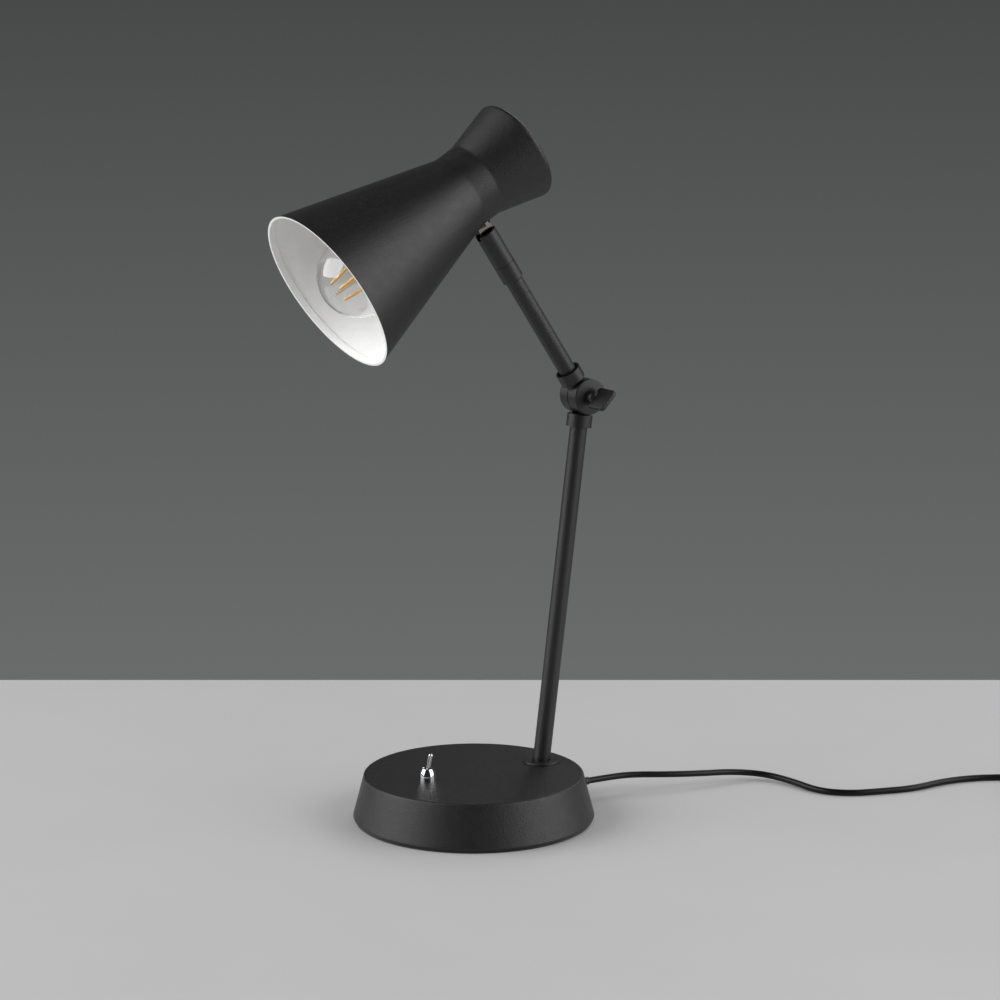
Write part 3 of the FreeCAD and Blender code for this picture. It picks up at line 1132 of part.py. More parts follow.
for side in (-1, 1):
    y = side * CLAMP_SCREW_SPREAD
    clamp = clamp.cut(rod(CLAMP_SCREW_RADIUS + SNUG, 0, CLAMP_TOP + PAST, CLAMP_X, y))
    shank = rod(CLAMP_SCREW_RADIUS, PAD_THICKNESS, CLAMP_TOP, CLAMP_X, y)
    head = rod(CLAMP_HEAD_RADIUS, CLAMP_TOP, CLAMP_TOP + CLAMP_HEAD_HEIGHT, CLAMP_X, y)
    clamp_screws.append(head.fuse(shank))
wall_x = side_radius(exit_z) - BASE_WALL
collar_wall = side_radius(exit_z + GLAND_COLLAR_RADIUS) - BASE_WALL
collar_x = math.sqrt(collar_wall ** 2 - GLAND_COLLAR_RADIUS ** 2) - COLLAR_CLEARANCE
gland = side_rod(GLAND_RADIUS, GLAND_START, wall_x + BASE_WALL + SNUG, 0, exit_z)
gland = gland.fuse(side_rod(GLAND_COLLAR_RADIUS, collar_x - GLAND_COLLAR_THICKNESS, collar_x, 0, exit_z))
nose_length = GLAND_NOSE - wall_x - BASE_WALL - SNUG
nose = Part.makeCone(GLAND_RADIUS, GLAND_NOSE_RADIUS, nose_length,
                     Vec(wall_x + BASE_WALL + SNUG, 0, exit_z), X_AXIS)
gland = gland.fuse(nose)
gland = gland.cut(side_rod(LEAD_RADIUS + SNUG, 0, GLAND_NOSE + PAST, 0, exit_z))
save("terminal_block", terminal_block)
save("mains_lead", mains_lead)
save("cord_clamp", clamp)
save("clamp_screws", *clamp_screws)
save("cord_gland", gland)

# Single cores: terminal block to switch, terminal block to the elbow
lead_y = ELBOW_SEAM_Y + seam_half + RACE_DEPTH / 2
elbow_low = COLLAR_START + COLLAR_SKIN


def down_pole(distance, x, y):
    """A place in the pole, its distance measured back from the elbow."""
    return ELBOW + along(POLE_LEAN, -distance) + along(POLE_LEAN + 90, x) + Vec(0, y, 0)


base_leads = []
for side in (-1, 1):
    step = side * CORE_SPREAD
    route = [
        Vec(POLE_FOOT_X + step, 0, block_high[2]),
        Vec(POLE_FOOT_X + step, 0, BASE_HEIGHT),
        down_pole(TUBE_SEAT, step, LEAD_BORE - CORE_RADIUS - CORE_SPREAD / 2),
        down_pole(elbow_low + CORE_RADIUS, step, lead_y),
        down_pole(RACE_INNER + LEAD_BORE, step, lead_y + SNUG),
    ]
    path, bends = eased(route)
    base_leads.append(tube(path, CORE_RADIUS))
switch_z = body_low - blade_z / 2
first_face = SWITCH_X + SWITCH_TERMINAL_PITCH + blade_x / 2
second_face = SWITCH_X + blade_x / 2
start_y = BLOCK_SCREW_SPREAD
wire_z = WEIGHT_TOP + 2 * CORE_RADIUS
first_bend, near_bend, far_bend = BASE_LEAD_BENDS
route = [
    (block_low[0], -start_y / 2, wire_z),
    (first_face + first_bend, -start_y / 2, wire_z + FACE_GAP),
    (first_face + near_bend, -start_y / 4, switch_z),
    (first_face, 0, switch_z + FACE_GAP),
]
path, bends = eased(route)
base_leads.append(tube(path, CORE_RADIUS))
route = [
    (block_low[0], start_y / 2, wire_z),
    (first_face + first_bend, start_y / 2 + CORE_RADIUS, wire_z + FACE_GAP),
    (first_face + far_bend, start_y / 2 + BASE_LEAD_SPACE, switch_z),
    (second_face, CORE_RADIUS / 2, switch_z + FACE_GAP),
]
path, bends = eased(route)
core = tube(path, CORE_RADIUS)
for blade in terminals:
    core = core.cut(blade)
base_leads.append(max(core.Solids, key=lambda solid: solid.Volume))
base_leads[2] = base_leads[2].cut(terminals[2])
save("base_leads", *base_leads)

# Cores in the upper arm and in the shade
arm_y = ELBOW_SEAM_Y - seam_half - RACE_DEPTH / 2
arm_leads = []
for side in (-1, 1):
    x = side * CORE_SPREAD
    route = [
        (x, arm_y, RACE_INNER + LEAD_BORE),
        (x, arm_y + SNUG, elbow_low + CORE_RADIUS),
        (x, CORE_RADIUS + CORE_SPREAD - LEAD_BORE, TUBE_SEAT),
        (x, 0, journal_end - PAST),
    ]
    path, bends = eased(route)
    arm_leads.append(on_arm(tube(path, CORE_RADIUS)))
save("arm_leads", *arm_leads)
head_leads = []
loop_top = nipple_high + HOLDER_LOOP
for side in (-1, 1):
    y = side * CORE_SPREAD
    route = [
        (bore_end - PAST, y, PIN_STATION),
        (STRIP_EYE_X + HOLDER_LOOP, y, PIN_STATION + SNUG),
        (STRIP_EYE_X, y, PIN_STATION),
        (STRIP_EYE_X + SNUG, y, loop_top),
        (BULB_OFFSET, y, loop_top),
        (BULB_OFFSET, y, floor_low),
    ]
    path, bends = eased(route)
    print("head lead bends:", ["%.1f" % bend for bend in bends])
    head_leads.append(on_shade(tube(path, CORE_RADIUS)))
save("head_leads", *head_leads)

# Free mains cord, from the gland to the coil
cord_places = [(GLAND_NOSE + out, aside, up) for out, aside, up in CORD_ROUTE]
path, bends = eased(cord_places)
cord_run = tube(path, CORD_RADIUS)
print("cord radii:", ["%.0f" % bend for bend in bends])
section = math.pi * CORD_RADIUS ** 2
print("cord run: length %.1f, volume over section times length %.4f"
      % (path.Length, cord_run.Volume / (section * path.Length)))
run_length = path.Length
save("cord_run", cord_run)


# Put-away length: one unbroken tube, spiralling in below and out above
def biarc(start, start_heading, end, end_heading):
    """Two arcs that join two places, each with its heading."""
    reach = (end - start).Length / 2
    first = start + start_heading * reach
    last = end - end_heading * reach
    joint = (first + last) * 0.5
    arcs = []
    for a, corner, b in ((start, first, joint), (joint, last, end)):
        half = (corner - a).getAngle(b - corner) / 2
        radius = (corner - a).Length / math.tan(half)
        inward = ((a + b) * 0.5 - corner).normalize()
        middle = corner + inward * (radius / math.cos(half) - radius)
        arcs.append(Part.Arc(a, middle, b).toShape())
    return arcs


coil_start = Vec(*cord_places[-1])
entry = coil_start - Vec(*cord_places[-2])
entry = Vec(entry.x, entry.y, 0).normalize()
to_middle = Vec(entry.y, -entry.x, 0)
half_pitch = COIL_TURN_PITCH / 2
outer_radius = COIL_INNER_RADIUS + COIL_HALF_TURNS * half_pitch
coil_middle = coil_start + entry * COIL_END_RUN + to_middle * outer_radius
low_z = coil_start.z
high_z = low_z + COIL_LAYER_PITCH
turns = [(outer_radius - half_pitch * k, low_z) for k in range(COIL_HALF_TURNS + 1)]
turns.append((COIL_INNER_RADIUS - COIL_TUCK, high_z))
turns += [(COIL_INNER_RADIUS + half_pitch * k, high_z) for k in range(1, COIL_HALF_TURNS)]
places = []
headings = []
for count, (radius, height) in enumerate(turns):
    side = -1 if count % 2 == 0 else 1
    places.append(Vec(coil_middle.x, coil_middle.y, height) + to_middle * (side * radius))
    headings.append(entry * -side)
coil_edges = [Part.LineSegment(coil_start, places[0]).toShape()]
for count in range(len(places) - 1):
    coil_edges += biarc(places[count], headings[count], places[count + 1], headings[count + 1])
coil_end = places[-1] + headings[-1] * COIL_END_RUN
coil_edges.append(Part.LineSegment(places[-1], coil_end).toShape())
coil_path = Part.Wire(coil_edges)
coil = tube(coil_path, CORD_RADIUS)
print("coil: length %.1f, volume over section times length %.4f"
      % (coil_path.Length, coil.Volume / (section * coil_path.Length)))
save("cord_coil", coil)


def least_gap(path, radius, skip):
    """The least gap of a tube to itself, from points a millimetre apart."""
    points = path.discretize(Distance=1.0)
    best = 1e9
    for i, here in enumerate(points):
        for there in points[i + skip:]:
            distance = (here - there).Length
            best = min(best, distance)
    return best - 2 * radius


print("coil: least gap to itself %.2f" % least_gap(coil_path, CORD_RADIUS, 40))

# Tie round the coil, across from where the cord enters and leaves
tie_low = COIL_INNER_RADIUS - CORD_RADIUS - TIE_ROOM
tie_high = outer_radius - half_pitch + CORD_RADIUS + TIE_ROOM
tie_top = high_z + CORD_RADIUS + SNUG
tie = block((tie_low - TIE_THICKNESS, -TIE_WIDTH / 2, 0),
            (tie_high + TIE_THICKNESS, TIE_WIDTH / 2, tie_top + TIE_THICKNESS))
tie = rounded(tie, TIE_ROUND + TIE_THICKNESS, lambda edge: edge.BoundBox.YLength > PAST)
tie_hole = block((tie_low, -TIE_WIDTH, TIE_THICKNESS), (tie_high, TIE_WIDTH, tie_top))
tie_hole = rounded(tie_hole, TIE_ROUND, lambda edge: edge.BoundBox.YLength > PAST)
tie = tie.cut(tie_hole)
tie.rotate(HERE, Z_AXIS, math.degrees(math.atan2(to_middle.y, to_middle.x)))
tie.translate(Vec(coil_middle.x, coil_middle.y, 0))
save("coil_tie", tie)

# Cord's end and the flat two-pin plug
heading = math.degrees(math.atan2(entry.y, entry.x))
place = coil_end
tail_route = [(place.x, place.y, place.z)]
for run, turn, drop in CORD_TAIL:
    heading += turn
    step = Vec(math.cos(math.radians(heading)), math.sin(math.radians(heading)), 0)
    place = place + step * run - Vec(0, 0, drop * (high_z - PLUG_THICKNESS / 2))
    tail_route.append((place.x, place.y, place.z))
path, bends = eased(tail_route)
cord_tail = tube(path, CORD_RADIUS)
print("tail radii:", ["%.0f" % bend for bend in bends])
print("cord in all: %.0f" % (run_length + coil_path.Length + path.Length))
save("cord_tail", cord_tail)


def on_plug(shape):
    """Place a piece made with the cord's end at the origin and the plug along +X."""
    moved = shape.copy()
    moved.rotate(HERE, Z_AXIS, heading)
    moved.translate(place)
    return moved


half_thick = PLUG_THICKNESS / 2
rear_x = BOOT_LENGTH
face_x = BOOT_LENGTH + PLUG_LENGTH
outline = [
    Vec(rear_x, -PLUG_REAR_WIDTH / 2, -half_thick),
    Vec(face_x - PLUG_FACE_LENGTH, -PLUG_WIDTH / 2, -half_thick),
    Vec(face_x, -PLUG_WIDTH / 2, -half_thick),
    Vec(face_x, PLUG_WIDTH / 2, -half_thick),
    Vec(face_x - PLUG_FACE_LENGTH, PLUG_WIDTH / 2, -half_thick),
    Vec(rear_x, PLUG_REAR_WIDTH / 2, -half_thick),
]
plug = Part.Face(Part.makePolygon(outline + [outline[0]])).extrude(Vec(0, 0, PLUG_THICKNESS))
plug = rounded(plug, 2 * PLUG_ROUND, lambda edge: edge.BoundBox.ZLength > PAST
               and edge.BoundBox.XMax < face_x - PAST)
plug = rounded(plug, PLUG_ROUND, lambda edge: edge.BoundBox.ZLength < SNUG
               and edge.BoundBox.XMin < face_x - PAST)
boot = Part.makeCone(CORD_RADIUS + BOOT_SKIN, BOOT_RADIUS, BOOT_LENGTH + PAST, HERE, X_AXIS)
plug = plug.fuse(boot)
pins = []
for side in (-1, 1):
    y = side * PLUG_PIN_PITCH / 2
    sleeve_end = face_x + PLUG_SLEEVE_LENGTH
    plug = plug.fuse(side_rod(PLUG_SLEEVE_RADIUS, face_x - PAST, sleeve_end, y))
    plug = plug.cut(side_rod(PLUG_PIN_CORE + SNUG, face_x - PLUG_PIN_ROOT, sleeve_end + PAST, y))
    pin = side_rod(PLUG_PIN_CORE, face_x - PLUG_PIN_ROOT, sleeve_end, y)
    tip = side_rod(PLUG_PIN_RADIUS, sleeve_end, face_x + PLUG_PIN_LENGTH, y)
    tip = rounded(tip, PLUG_PIN_RADIUS * 0.7,
                  lambda edge: edge.BoundBox.XMin > face_x + PLUG_PIN_LENGTH - SNUG)
    pins.append(on_plug(pin.fuse(tip)))
save("plug_body", on_plug(plug))
save("plug_pins", *pins)
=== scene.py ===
import bmesh
import bpy
import math
import numpy as np
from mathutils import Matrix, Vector


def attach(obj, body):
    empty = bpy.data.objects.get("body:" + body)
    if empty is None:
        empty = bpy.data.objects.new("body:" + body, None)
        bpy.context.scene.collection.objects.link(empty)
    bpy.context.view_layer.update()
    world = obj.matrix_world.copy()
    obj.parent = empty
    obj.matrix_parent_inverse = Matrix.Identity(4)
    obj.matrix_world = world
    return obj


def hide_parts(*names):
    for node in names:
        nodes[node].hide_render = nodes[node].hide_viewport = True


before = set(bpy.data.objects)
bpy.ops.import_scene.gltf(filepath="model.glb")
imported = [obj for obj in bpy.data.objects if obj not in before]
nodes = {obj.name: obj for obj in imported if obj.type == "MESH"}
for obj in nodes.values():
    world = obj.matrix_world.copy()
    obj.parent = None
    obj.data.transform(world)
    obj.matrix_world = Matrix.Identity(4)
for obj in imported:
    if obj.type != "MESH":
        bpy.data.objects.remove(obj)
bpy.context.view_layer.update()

# Camera: a long lens a little above the lamp and to the left of its arm, looking
# down at it. It is set first, because the mains cord has to leave its view.
CAMERA_PLACE = (-1.0088, -1.7166, 0.6101)
CAMERA_HEADING = (0.5064, 0.8427, -0.1826)
lens = bpy.data.cameras.new("camera")
lens.lens = 100.0
lens.sensor_width = 36.0
lens.clip_start = 0.05
lens.clip_end = 50.0
camera = bpy.data.objects.new("camera", lens)
camera.location = CAMERA_PLACE
camera.rotation_euler = Vector(CAMERA_HEADING).to_track_quat("-Z", "Y").to_euler()
bpy.context.scene.collection.objects.link(camera)
bpy.context.scene.camera = camera

# Mains cord: a round two-core lead in smooth black PVC, 4.8 mm thick. It leaves the
# back of the base through the gland, sinks to the table and wanders off to the right.
# What isn't seen is wound into a flat round coil, tied, with the plug beside it.
CORD_DIAMETER = 0.0048
CORD_ROUTE = [
    (0.101, 0.0, 0.013),
    (0.117, 0.0, 0.013),
    (0.139, -0.0015, 0.0128),
    (0.166, -0.013, 0.0115),
    (0.194, -0.0185, 0.0096),
    (0.222, -0.020, 0.0072),
    (0.246, -0.031, 0.0044),
    (0.255, -0.057, 0.0029),
    (0.257, -0.083, 0.0024),
    (0.273, -0.101, 0.0024),
    (0.298, -0.109, 0.0024),
    (0.325, -0.116, 0.0024),
    (0.355, -0.1125, 0.0024),
    (0.384, -0.1175, 0.0024),
    (0.408, -0.1305, 0.0024),
    (0.428, -0.142, 0.00295),
    (0.446, -0.1524, 0.00295),
]
COIL_INNER_RADIUS = 0.0193
COIL_TURN_PITCH = 0.0058
COIL_LAYER_PITCH = 0.0054
COIL_TUCK = 0.001        # the reversing turn lies this much further in
COIL_HALF_TURNS = 7      # inwards in the lower layer, then one fewer outwards
COIL_END_RUN = 0.005
TURN_POINTS = 16         # control points for each turn
PLUG_REST = 0.007        # height of the plug's middle, half its thickness
CORD_TAIL = [            # run, turn in degrees, share of the way down to the plug
    (0.016, 0.0, 0.0),
    (0.022, -24.0, 0.35),
    (0.024, -30.0, 0.65),
    (0.022, -26.0, 0.0),
]

route = np.array(CORD_ROUTE)
entry = (route[-1] - route[-2]) * (1, 1, 0)
entry = entry / np.linalg.norm(entry)
inward = np.array([entry[1], -entry[0], 0.0])
half_pitch = COIL_TURN_PITCH / 2
outer_radius = COIL_INNER_RADIUS + COIL_HALF_TURNS * half_pitch
coil_middle = route[-1] + entry * COIL_END_RUN + inward * outer_radius
low_z = route[-1][2]
high_z = low_z + COIL_LAYER_PITCH
last_half = 2 * COIL_HALF_TURNS
half_counts = [0, COIL_HALF_TURNS, COIL_HALF_TURNS + 1, last_half]
half_radii = [outer_radius, COIL_INNER_RADIUS, COIL_INNER_RADIUS - COIL_TUCK,
              COIL_INNER_RADIUS + (COIL_HALF_TURNS - 1) * half_pitch]
# Each control point stands where the tangents of its two neighbours' arcs meet,
# so the spline touches the turn's own circle between every two of them
steps = np.arange(last_half * TURN_POINTS // 2) + 0.5
halves = steps * 2 / TURN_POINTS
radii = np.interp(halves, half_counts, half_radii) / math.cos(math.pi / TURN_POINTS)
rise = np.clip(halves - COIL_HALF_TURNS, 0, 1)
heights = low_z + COIL_LAYER_PITCH * rise * rise * (3 - 2 * rise)
angles = halves[:, None] * math.pi
turns = coil_middle * (1, 1, 0) + radii[:, None] * (entry * np.sin(angles) - inward * np.cos(angles))
turns[:, 2] = heights
coil_end = coil_middle * (1, 1, 0) - inward * half_radii[-1] + entry * COIL_END_RUN
coil_end[2] = high_z
heading = math.degrees(math.atan2(entry[1], entry[0]))
tail = [coil_end]
for run, turn, drop in CORD_TAIL:
    heading += turn
    step = np.array([math.cos(math.radians(heading)), math.sin(math.radians(heading)), 0])
    tail.append(tail[-1] + step * run - np.array([0, 0, drop * (high_z - PLUG_REST)]))
cord_points = np.vstack([route, turns, tail])

# The lead's line is a NURBS spline through the loose route, coil and tail; the tube is
# a circle carried along it, made a mesh with its end caps merged on
cord_line = bpy.data.curves.new("cord_line", "CURVE")
cord_line.dimensions = "3D"
spline = cord_line.splines.new("NURBS")
spline.points.add(len(cord_points) - 1)
weights = np.ones((len(cord_points), 1))
spline.points.foreach_set("co", np.hstack([cord_points, weights]).ravel())
spline.order_u = 3
spline.use_endpoint_u = True
spline.resolution_u = 6
drawn_line = bpy.data.objects.new("cord_line", cord_line)
centres = bpy.data.meshes.new_from_object(drawn_line)
cord_line.bevel_depth = CORD_DIAMETER / 2
cord_line.bevel_resolution = 8
cord_line.use_fill_caps = True
cord_tube = bpy.data.meshes.new_from_object(drawn_line)
cord_tube.name = "mains_cord"
work = bmesh.new()
work.from_mesh(cord_tube)
bmesh.ops.remove_doubles(work, verts=work.verts, dist=1e-6)
bmesh.ops.recalc_face_normals(work, faces=work.faces)
work.to_mesh(cord_tube)
work.free()
cord_tube.shade_smooth()
cord_tube.set_sharp_from_angle(angle=math.radians(40))
cord = bpy.data.objects.new("mains_cord", cord_tube)
bpy.context.scene.collection.objects.link(cord)
bpy.data.objects.remove(drawn_line)
bpy.data.curves.remove(cord_line)
bpy.data.meshes.remove(centres)
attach(cord, "base")
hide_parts("cord_run", "cord_coil", "cord_tail")

MM = 0.001


def linear(code):
    """Linear colour of a hex sRGB code."""
    parts = [int(code[i:i + 2], 16) / 255 for i in (1, 3, 5)]
    return [p / 12.92 if p <= 0.04045 else ((p + 0.055) / 1.055) ** 2.4 for p in parts] + [1.0]


def add(tree, kind, inputs=None, **settings):
    """One shader node with its settings; an input is a value or another node's output."""
    made = tree.nodes.new("ShaderNode" + kind)
    for key, value in settings.items():
        setattr(made, key, value)
    for key, value in (inputs or {}).items():
        if isinstance(value, bpy.types.NodeSocket):
            tree.links.new(value, made.inputs[key])
        else:
            made.inputs[key].default_value = value
    return made


def begin(name):
    """A new material, its empty node tree and the coordinates of the object it is on."""
    material = bpy.data.materials.new(name)
    material.use_nodes = True
    material.node_tree.nodes.clear()
    return material, material.node_tree, add(material.node_tree, "TexCoord").outputs["Object"]


# Flexible PVC, extruded: near black and smooth, with a soft gloss that wavers a
# little along the lead where the hot plastic was drawn over the twisted cores.
WAVER = 6.0              # mm, about the twist's pitch
extruded_pvc, tree, place = begin("extruded_pvc")
waver = add(tree, "TexNoise", {"Vector": place, "Scale": 1 / (WAVER * MM), "Detail": 2.0})
gloss = add(tree, "MapRange", {"Value": waver.outputs["Fac"], "From Min": 0.3, "From Max": 0.7,
                               "To Min": 0.32, "To Max": 0.4})
swell = add(tree, "Bump", {"Height": waver.outputs["Fac"], "Distance": 0.06 * MM})
skin = add(tree, "BsdfPrincipled", {"Base Color": linear("#070708"),
                                    "Roughness": gloss.outputs["Result"], "IOR": 1.53,
                                    "Specular IOR Level": 0.25, "Normal": swell.outputs["Normal"]})
add(tree, "OutputMaterial", {"Surface": skin.outputs["BSDF"]})
cord_tube.materials.append(extruded_pvc)

# Table and wall: a pale laminate table whose far edge stands behind the lamp, and a
# grey wall far off in a dark studio, with painted light on it, lighter low down. None of it belongs to
# the lamp.
TABLE_BEHIND = 0.415     # from the lamp's middle to the far edge
TABLE_REACH = 1.2        # from there to each side and towards the camera
MOTTLE_SCALE = 9.0       # faint patches along each metre
# Painted light on the wall: lighter low down where the lamps' light falls, and a lighter band higher up
# that only reflections show
WALL_TONES = [           # upward part of the sight line, tone there
    (-0.25, "#6b6c6c"), (0.0, "#474848"), (0.1, "#565656"), (0.4, "#565656"), (0.6, "#2c2c2c"),
]
WALL_STARTS = 0.1        # part of the sight line that points away from the camera
WALL_FULL = 0.6
away = np.array([CAMERA_HEADING[0], CAMERA_HEADING[1], 0])
away = away / np.linalg.norm(away)
across = np.array([away[1], -away[0], 0])
corners = [away * TABLE_BEHIND - across * TABLE_REACH, away * TABLE_BEHIND + across * TABLE_REACH,
           across * TABLE_REACH - away * TABLE_REACH, -across * TABLE_REACH - away * TABLE_REACH]
table_mesh = bpy.data.meshes.new("table")
table_mesh.from_pydata([tuple(c) for c in corners], [], [(3, 2, 1, 0)])
table = bpy.data.objects.new("table", table_mesh)
pale_laminate, tree, place = begin("pale_laminate")
mottle = add(tree, "TexNoise", {"Vector": place, "Scale": MOTTLE_SCALE, "Detail": 3.0})
tone = add(tree, "Mix", {"Factor": mottle.outputs["Fac"], "A": linear("#b2b2b2"),
                         "B": linear("#b6b6b6")}, data_type="RGBA")
skin = add(tree, "BsdfPrincipled", {"Base Color": tone.outputs[2], "Roughness": 0.55})
add(tree, "OutputMaterial", {"Surface": skin.outputs["BSDF"]})
table_mesh.materials.append(pale_laminate)
bpy.context.scene.collection.objects.link(table)

world = bpy.data.worlds.new("studio")
bpy.context.scene.world = world
world.use_nodes = True
world.cycles.sampling_method = "NONE"    # gloss then sees the wall alone, not the fill
tree = world.node_tree
tree.nodes.clear()
seen = add(tree, "TexCoord").outputs["Generated"]
upward = add(tree, "SeparateXYZ", {"Vector": seen}).outputs["Z"]
# The wall's tones, painted light included, as a ramp along the sight line's upward part
wall_low = WALL_TONES[0][0]
wall_high = WALL_TONES[-1][0]
share = add(tree, "MapRange", {"Value": upward, "From Min": wall_low, "From Max": wall_high})
wall_tone = add(tree, "ValToRGB", {"Fac": share.outputs["Result"]})
stops = wall_tone.color_ramp.elements
for height, code in WALL_TONES[1:-1]:
    stops.new((height - wall_low) / (wall_high - wall_low))
for stop, (height, code) in zip(stops, WALL_TONES):
    stop.color = linear(code)
# The wall stands behind the lamp alone: its share grows with the sight line's part away
facing = add(tree, "VectorMath", {0: seen, 1: tuple(away)}, operation="DOT_PRODUCT")
behind = add(tree, "MapRange", {"Value": facing.outputs["Value"], "From Min": WALL_STARTS,
                                "From Max": WALL_FULL})
tone = add(tree, "Mix", {"Factor": behind.outputs["Result"], "A": linear("#2c2c2c"),
                         "B": wall_tone.outputs["Color"]}, data_type="RGBA")
wall = add(tree, "Background", {"Color": tone.outputs[2], "Strength": 1.0})
fill = add(tree, "Background", {"Color": linear("#9a9a9a"), "Strength": 1.2})
path = add(tree, "LightPath")
seen_ray = add(tree, "Math", {0: path.outputs["Is Camera Ray"], 1: path.outputs["Is Glossy Ray"]},
               operation="MAXIMUM")
seen_ray = add(tree, "Math", {0: seen_ray.outputs[0], 1: path.outputs["Is Transmission Ray"]},
               operation="MAXIMUM")
chosen = add(tree, "MixShader", {0: seen_ray.outputs[0], 1: fill.outputs[0], 2: wall.outputs[0]})
add(tree, "OutputWorld", {"Surface": chosen.outputs[0]})
bpy.context.scene.view_settings.view_transform = "Standard"

# Light: two wide soft lamps left and right of the camera and a smaller one high
# behind, far enough off that the table beneath them keeps its grey.
SOFTBOXES = [            # name, place, size, watts
    ("left", (-2.36, 1.02, 1.54), (3.3, 2.85), 99.0),
    ("right", (2.03, -2.01, 1.39), (3.6, 3.0), 86.0),
    ("behind", (2.55, 1.5, 2.14), (2.1, 1.5), 17.0),
]
LIGHT_TARGET = (0.0, 0.0, 0.22)
for name, spot, size, watts in SOFTBOXES:
    light = bpy.data.lights.new(name, "AREA")
    light.shape = "RECTANGLE"
    light.size, light.size_y = size
    light.energy = watts
    lamp = bpy.data.objects.new(name, light)
    lamp.location = spot
    lamp.rotation_euler = (Vector(LIGHT_TARGET) - Vector(spot)).to_track_quat("-Z", "Y").to_euler()
    bpy.context.scene.collection.objects.link(lamp)


# Pad under the base: a disc of black wool felt, 2 mm thick, glued on and cut out
# round the three screw heads.
def dress(material, *names):
    """Give CAD nodes a finish of their own."""
    for name in names:
        for slot in nodes[name].material_slots:
            slot.material = material


FELT_FIBRE = 0.5         # mm, drawn coarser than wool so that it shows
wool_felt, tree, place = begin("wool_felt")
fibre = add(tree, "TexNoise", {"Vector": place, "Scale": 1 / (FELT_FIBRE * MM), "Detail": 4.0,
                               "Roughness": 0.7, "Distortion": 1.5})
tone = add(tree, "Mix", {"Factor": fibre.outputs["Fac"], "A": linear("#101010"),
                         "B": linear("#262626")}, data_type="RGBA")
nap = add(tree, "Bump", {"Height": fibre.outputs["Fac"], "Distance": 0.3 * MM})
skin = add(tree, "BsdfPrincipled", {"Base Color": tone.outputs[2], "Roughness": 0.95,
                                    "Sheen Weight": 0.3, "Normal": nap.outputs["Normal"]})
add(tree, "OutputMaterial", {"Surface": skin.outputs["BSDF"]})
dress(wool_felt, "base_pad")

# Bottom plate and small hardware: mild steel, blanked or turned, then zinc plated
# and passivated, which leaves a cool grey satin with a patchy gloss.
ZINC_PATCH = 3.0         # mm
zinc_plate, tree, place = begin("zinc_plated_steel")
patch = add(tree, "TexNoise", {"Vector": place, "Scale": 1 / (ZINC_PATCH * MM), "Detail": 3.0})
tone = add(tree, "Mix", {"Factor": patch.outputs["Fac"], "A": linear("#b4b7bb"),
                         "B": linear("#c2c3c3")}, data_type="RGBA")
gloss = add(tree, "MapRange", {"Value": patch.outputs["Fac"], "From Min": 0.3, "From Max": 0.7,
                               "To Min": 0.26, "To Max": 0.4})
skin = add(tree, "BsdfPrincipled", {"Base Color": tone.outputs[2], "Metallic": 1.0,
                                    "Roughness": gloss.outputs["Result"]})
add(tree, "OutputMaterial", {"Surface": skin.outputs["BSDF"]})
dress(zinc_plate, "base_plate", "plate_screws", "clamp_screws", "foot_nipple", "foot_washer",
      "foot_nut", "switch_jam_nut", "knuckle_nut", "swivel_journal", "swivel_clip", "pivot_nut",
      "saddle_washer", "stem_nut", "holder_strip", "holder_nipple", "holder_nuts")

# Weight in the base: a disc of grey cast iron, sand cast and left rough, so it has
# the sand's grain and a dull, uneven grey.
SAND_GRAIN = 0.8         # mm
cast_iron, tree, place = begin("grey_cast_iron")
sand = add(tree, "TexNoise", {"Vector": place, "Scale": 1 / (SAND_GRAIN * MM), "Detail": 5.0})
tone = add(tree, "Mix", {"Factor": sand.outputs["Fac"], "A": linear("#3c3b3a"),
                         "B": linear("#5a5958")}, data_type="RGBA")
pits = add(tree, "Bump", {"Height": sand.outputs["Fac"], "Distance": 0.25 * MM})
skin = add(tree, "BsdfPrincipled", {"Base Color": tone.outputs[2], "Metallic": 1.0, "Roughness": 0.62,
                                    "Normal": pits.outputs["Normal"]})
add(tree, "OutputMaterial", {"Surface": skin.outputs["BSDF"]})
dress(cast_iron, "base_weight")

# Base cover: a round cover drawn from 1.8 mm steel sheet, its side sloping out to the
# foot, with three screw studs welded inside, powder coated black on the outside.
BASE_RADIUS = 90.0
BASE_TOP_RADIUS = 81.5
BASE_HEIGHT = 34.5
BASE_FOOT = 2.0
BASE_WALL = 1.8
BASE_TOP_ROUND = 1.6
BASE_FOOT_ROUND = 1.2
STUD_CIRCLE = 50.0
STUD_ANGLES = (90.0, 210.0, 330.0)
STUD_RADIUS = 4.5
STUD_BORE = 1.85
STUD_LOW = 13.2
POLE_FOOT_X = 59.0
NIPPLE_HOLE = 5.05
SWITCH_X = -39.4
BUSH_HOLE = 3.05
CORD_HEIGHT = 13.0
GLAND_HOLE = 4.55


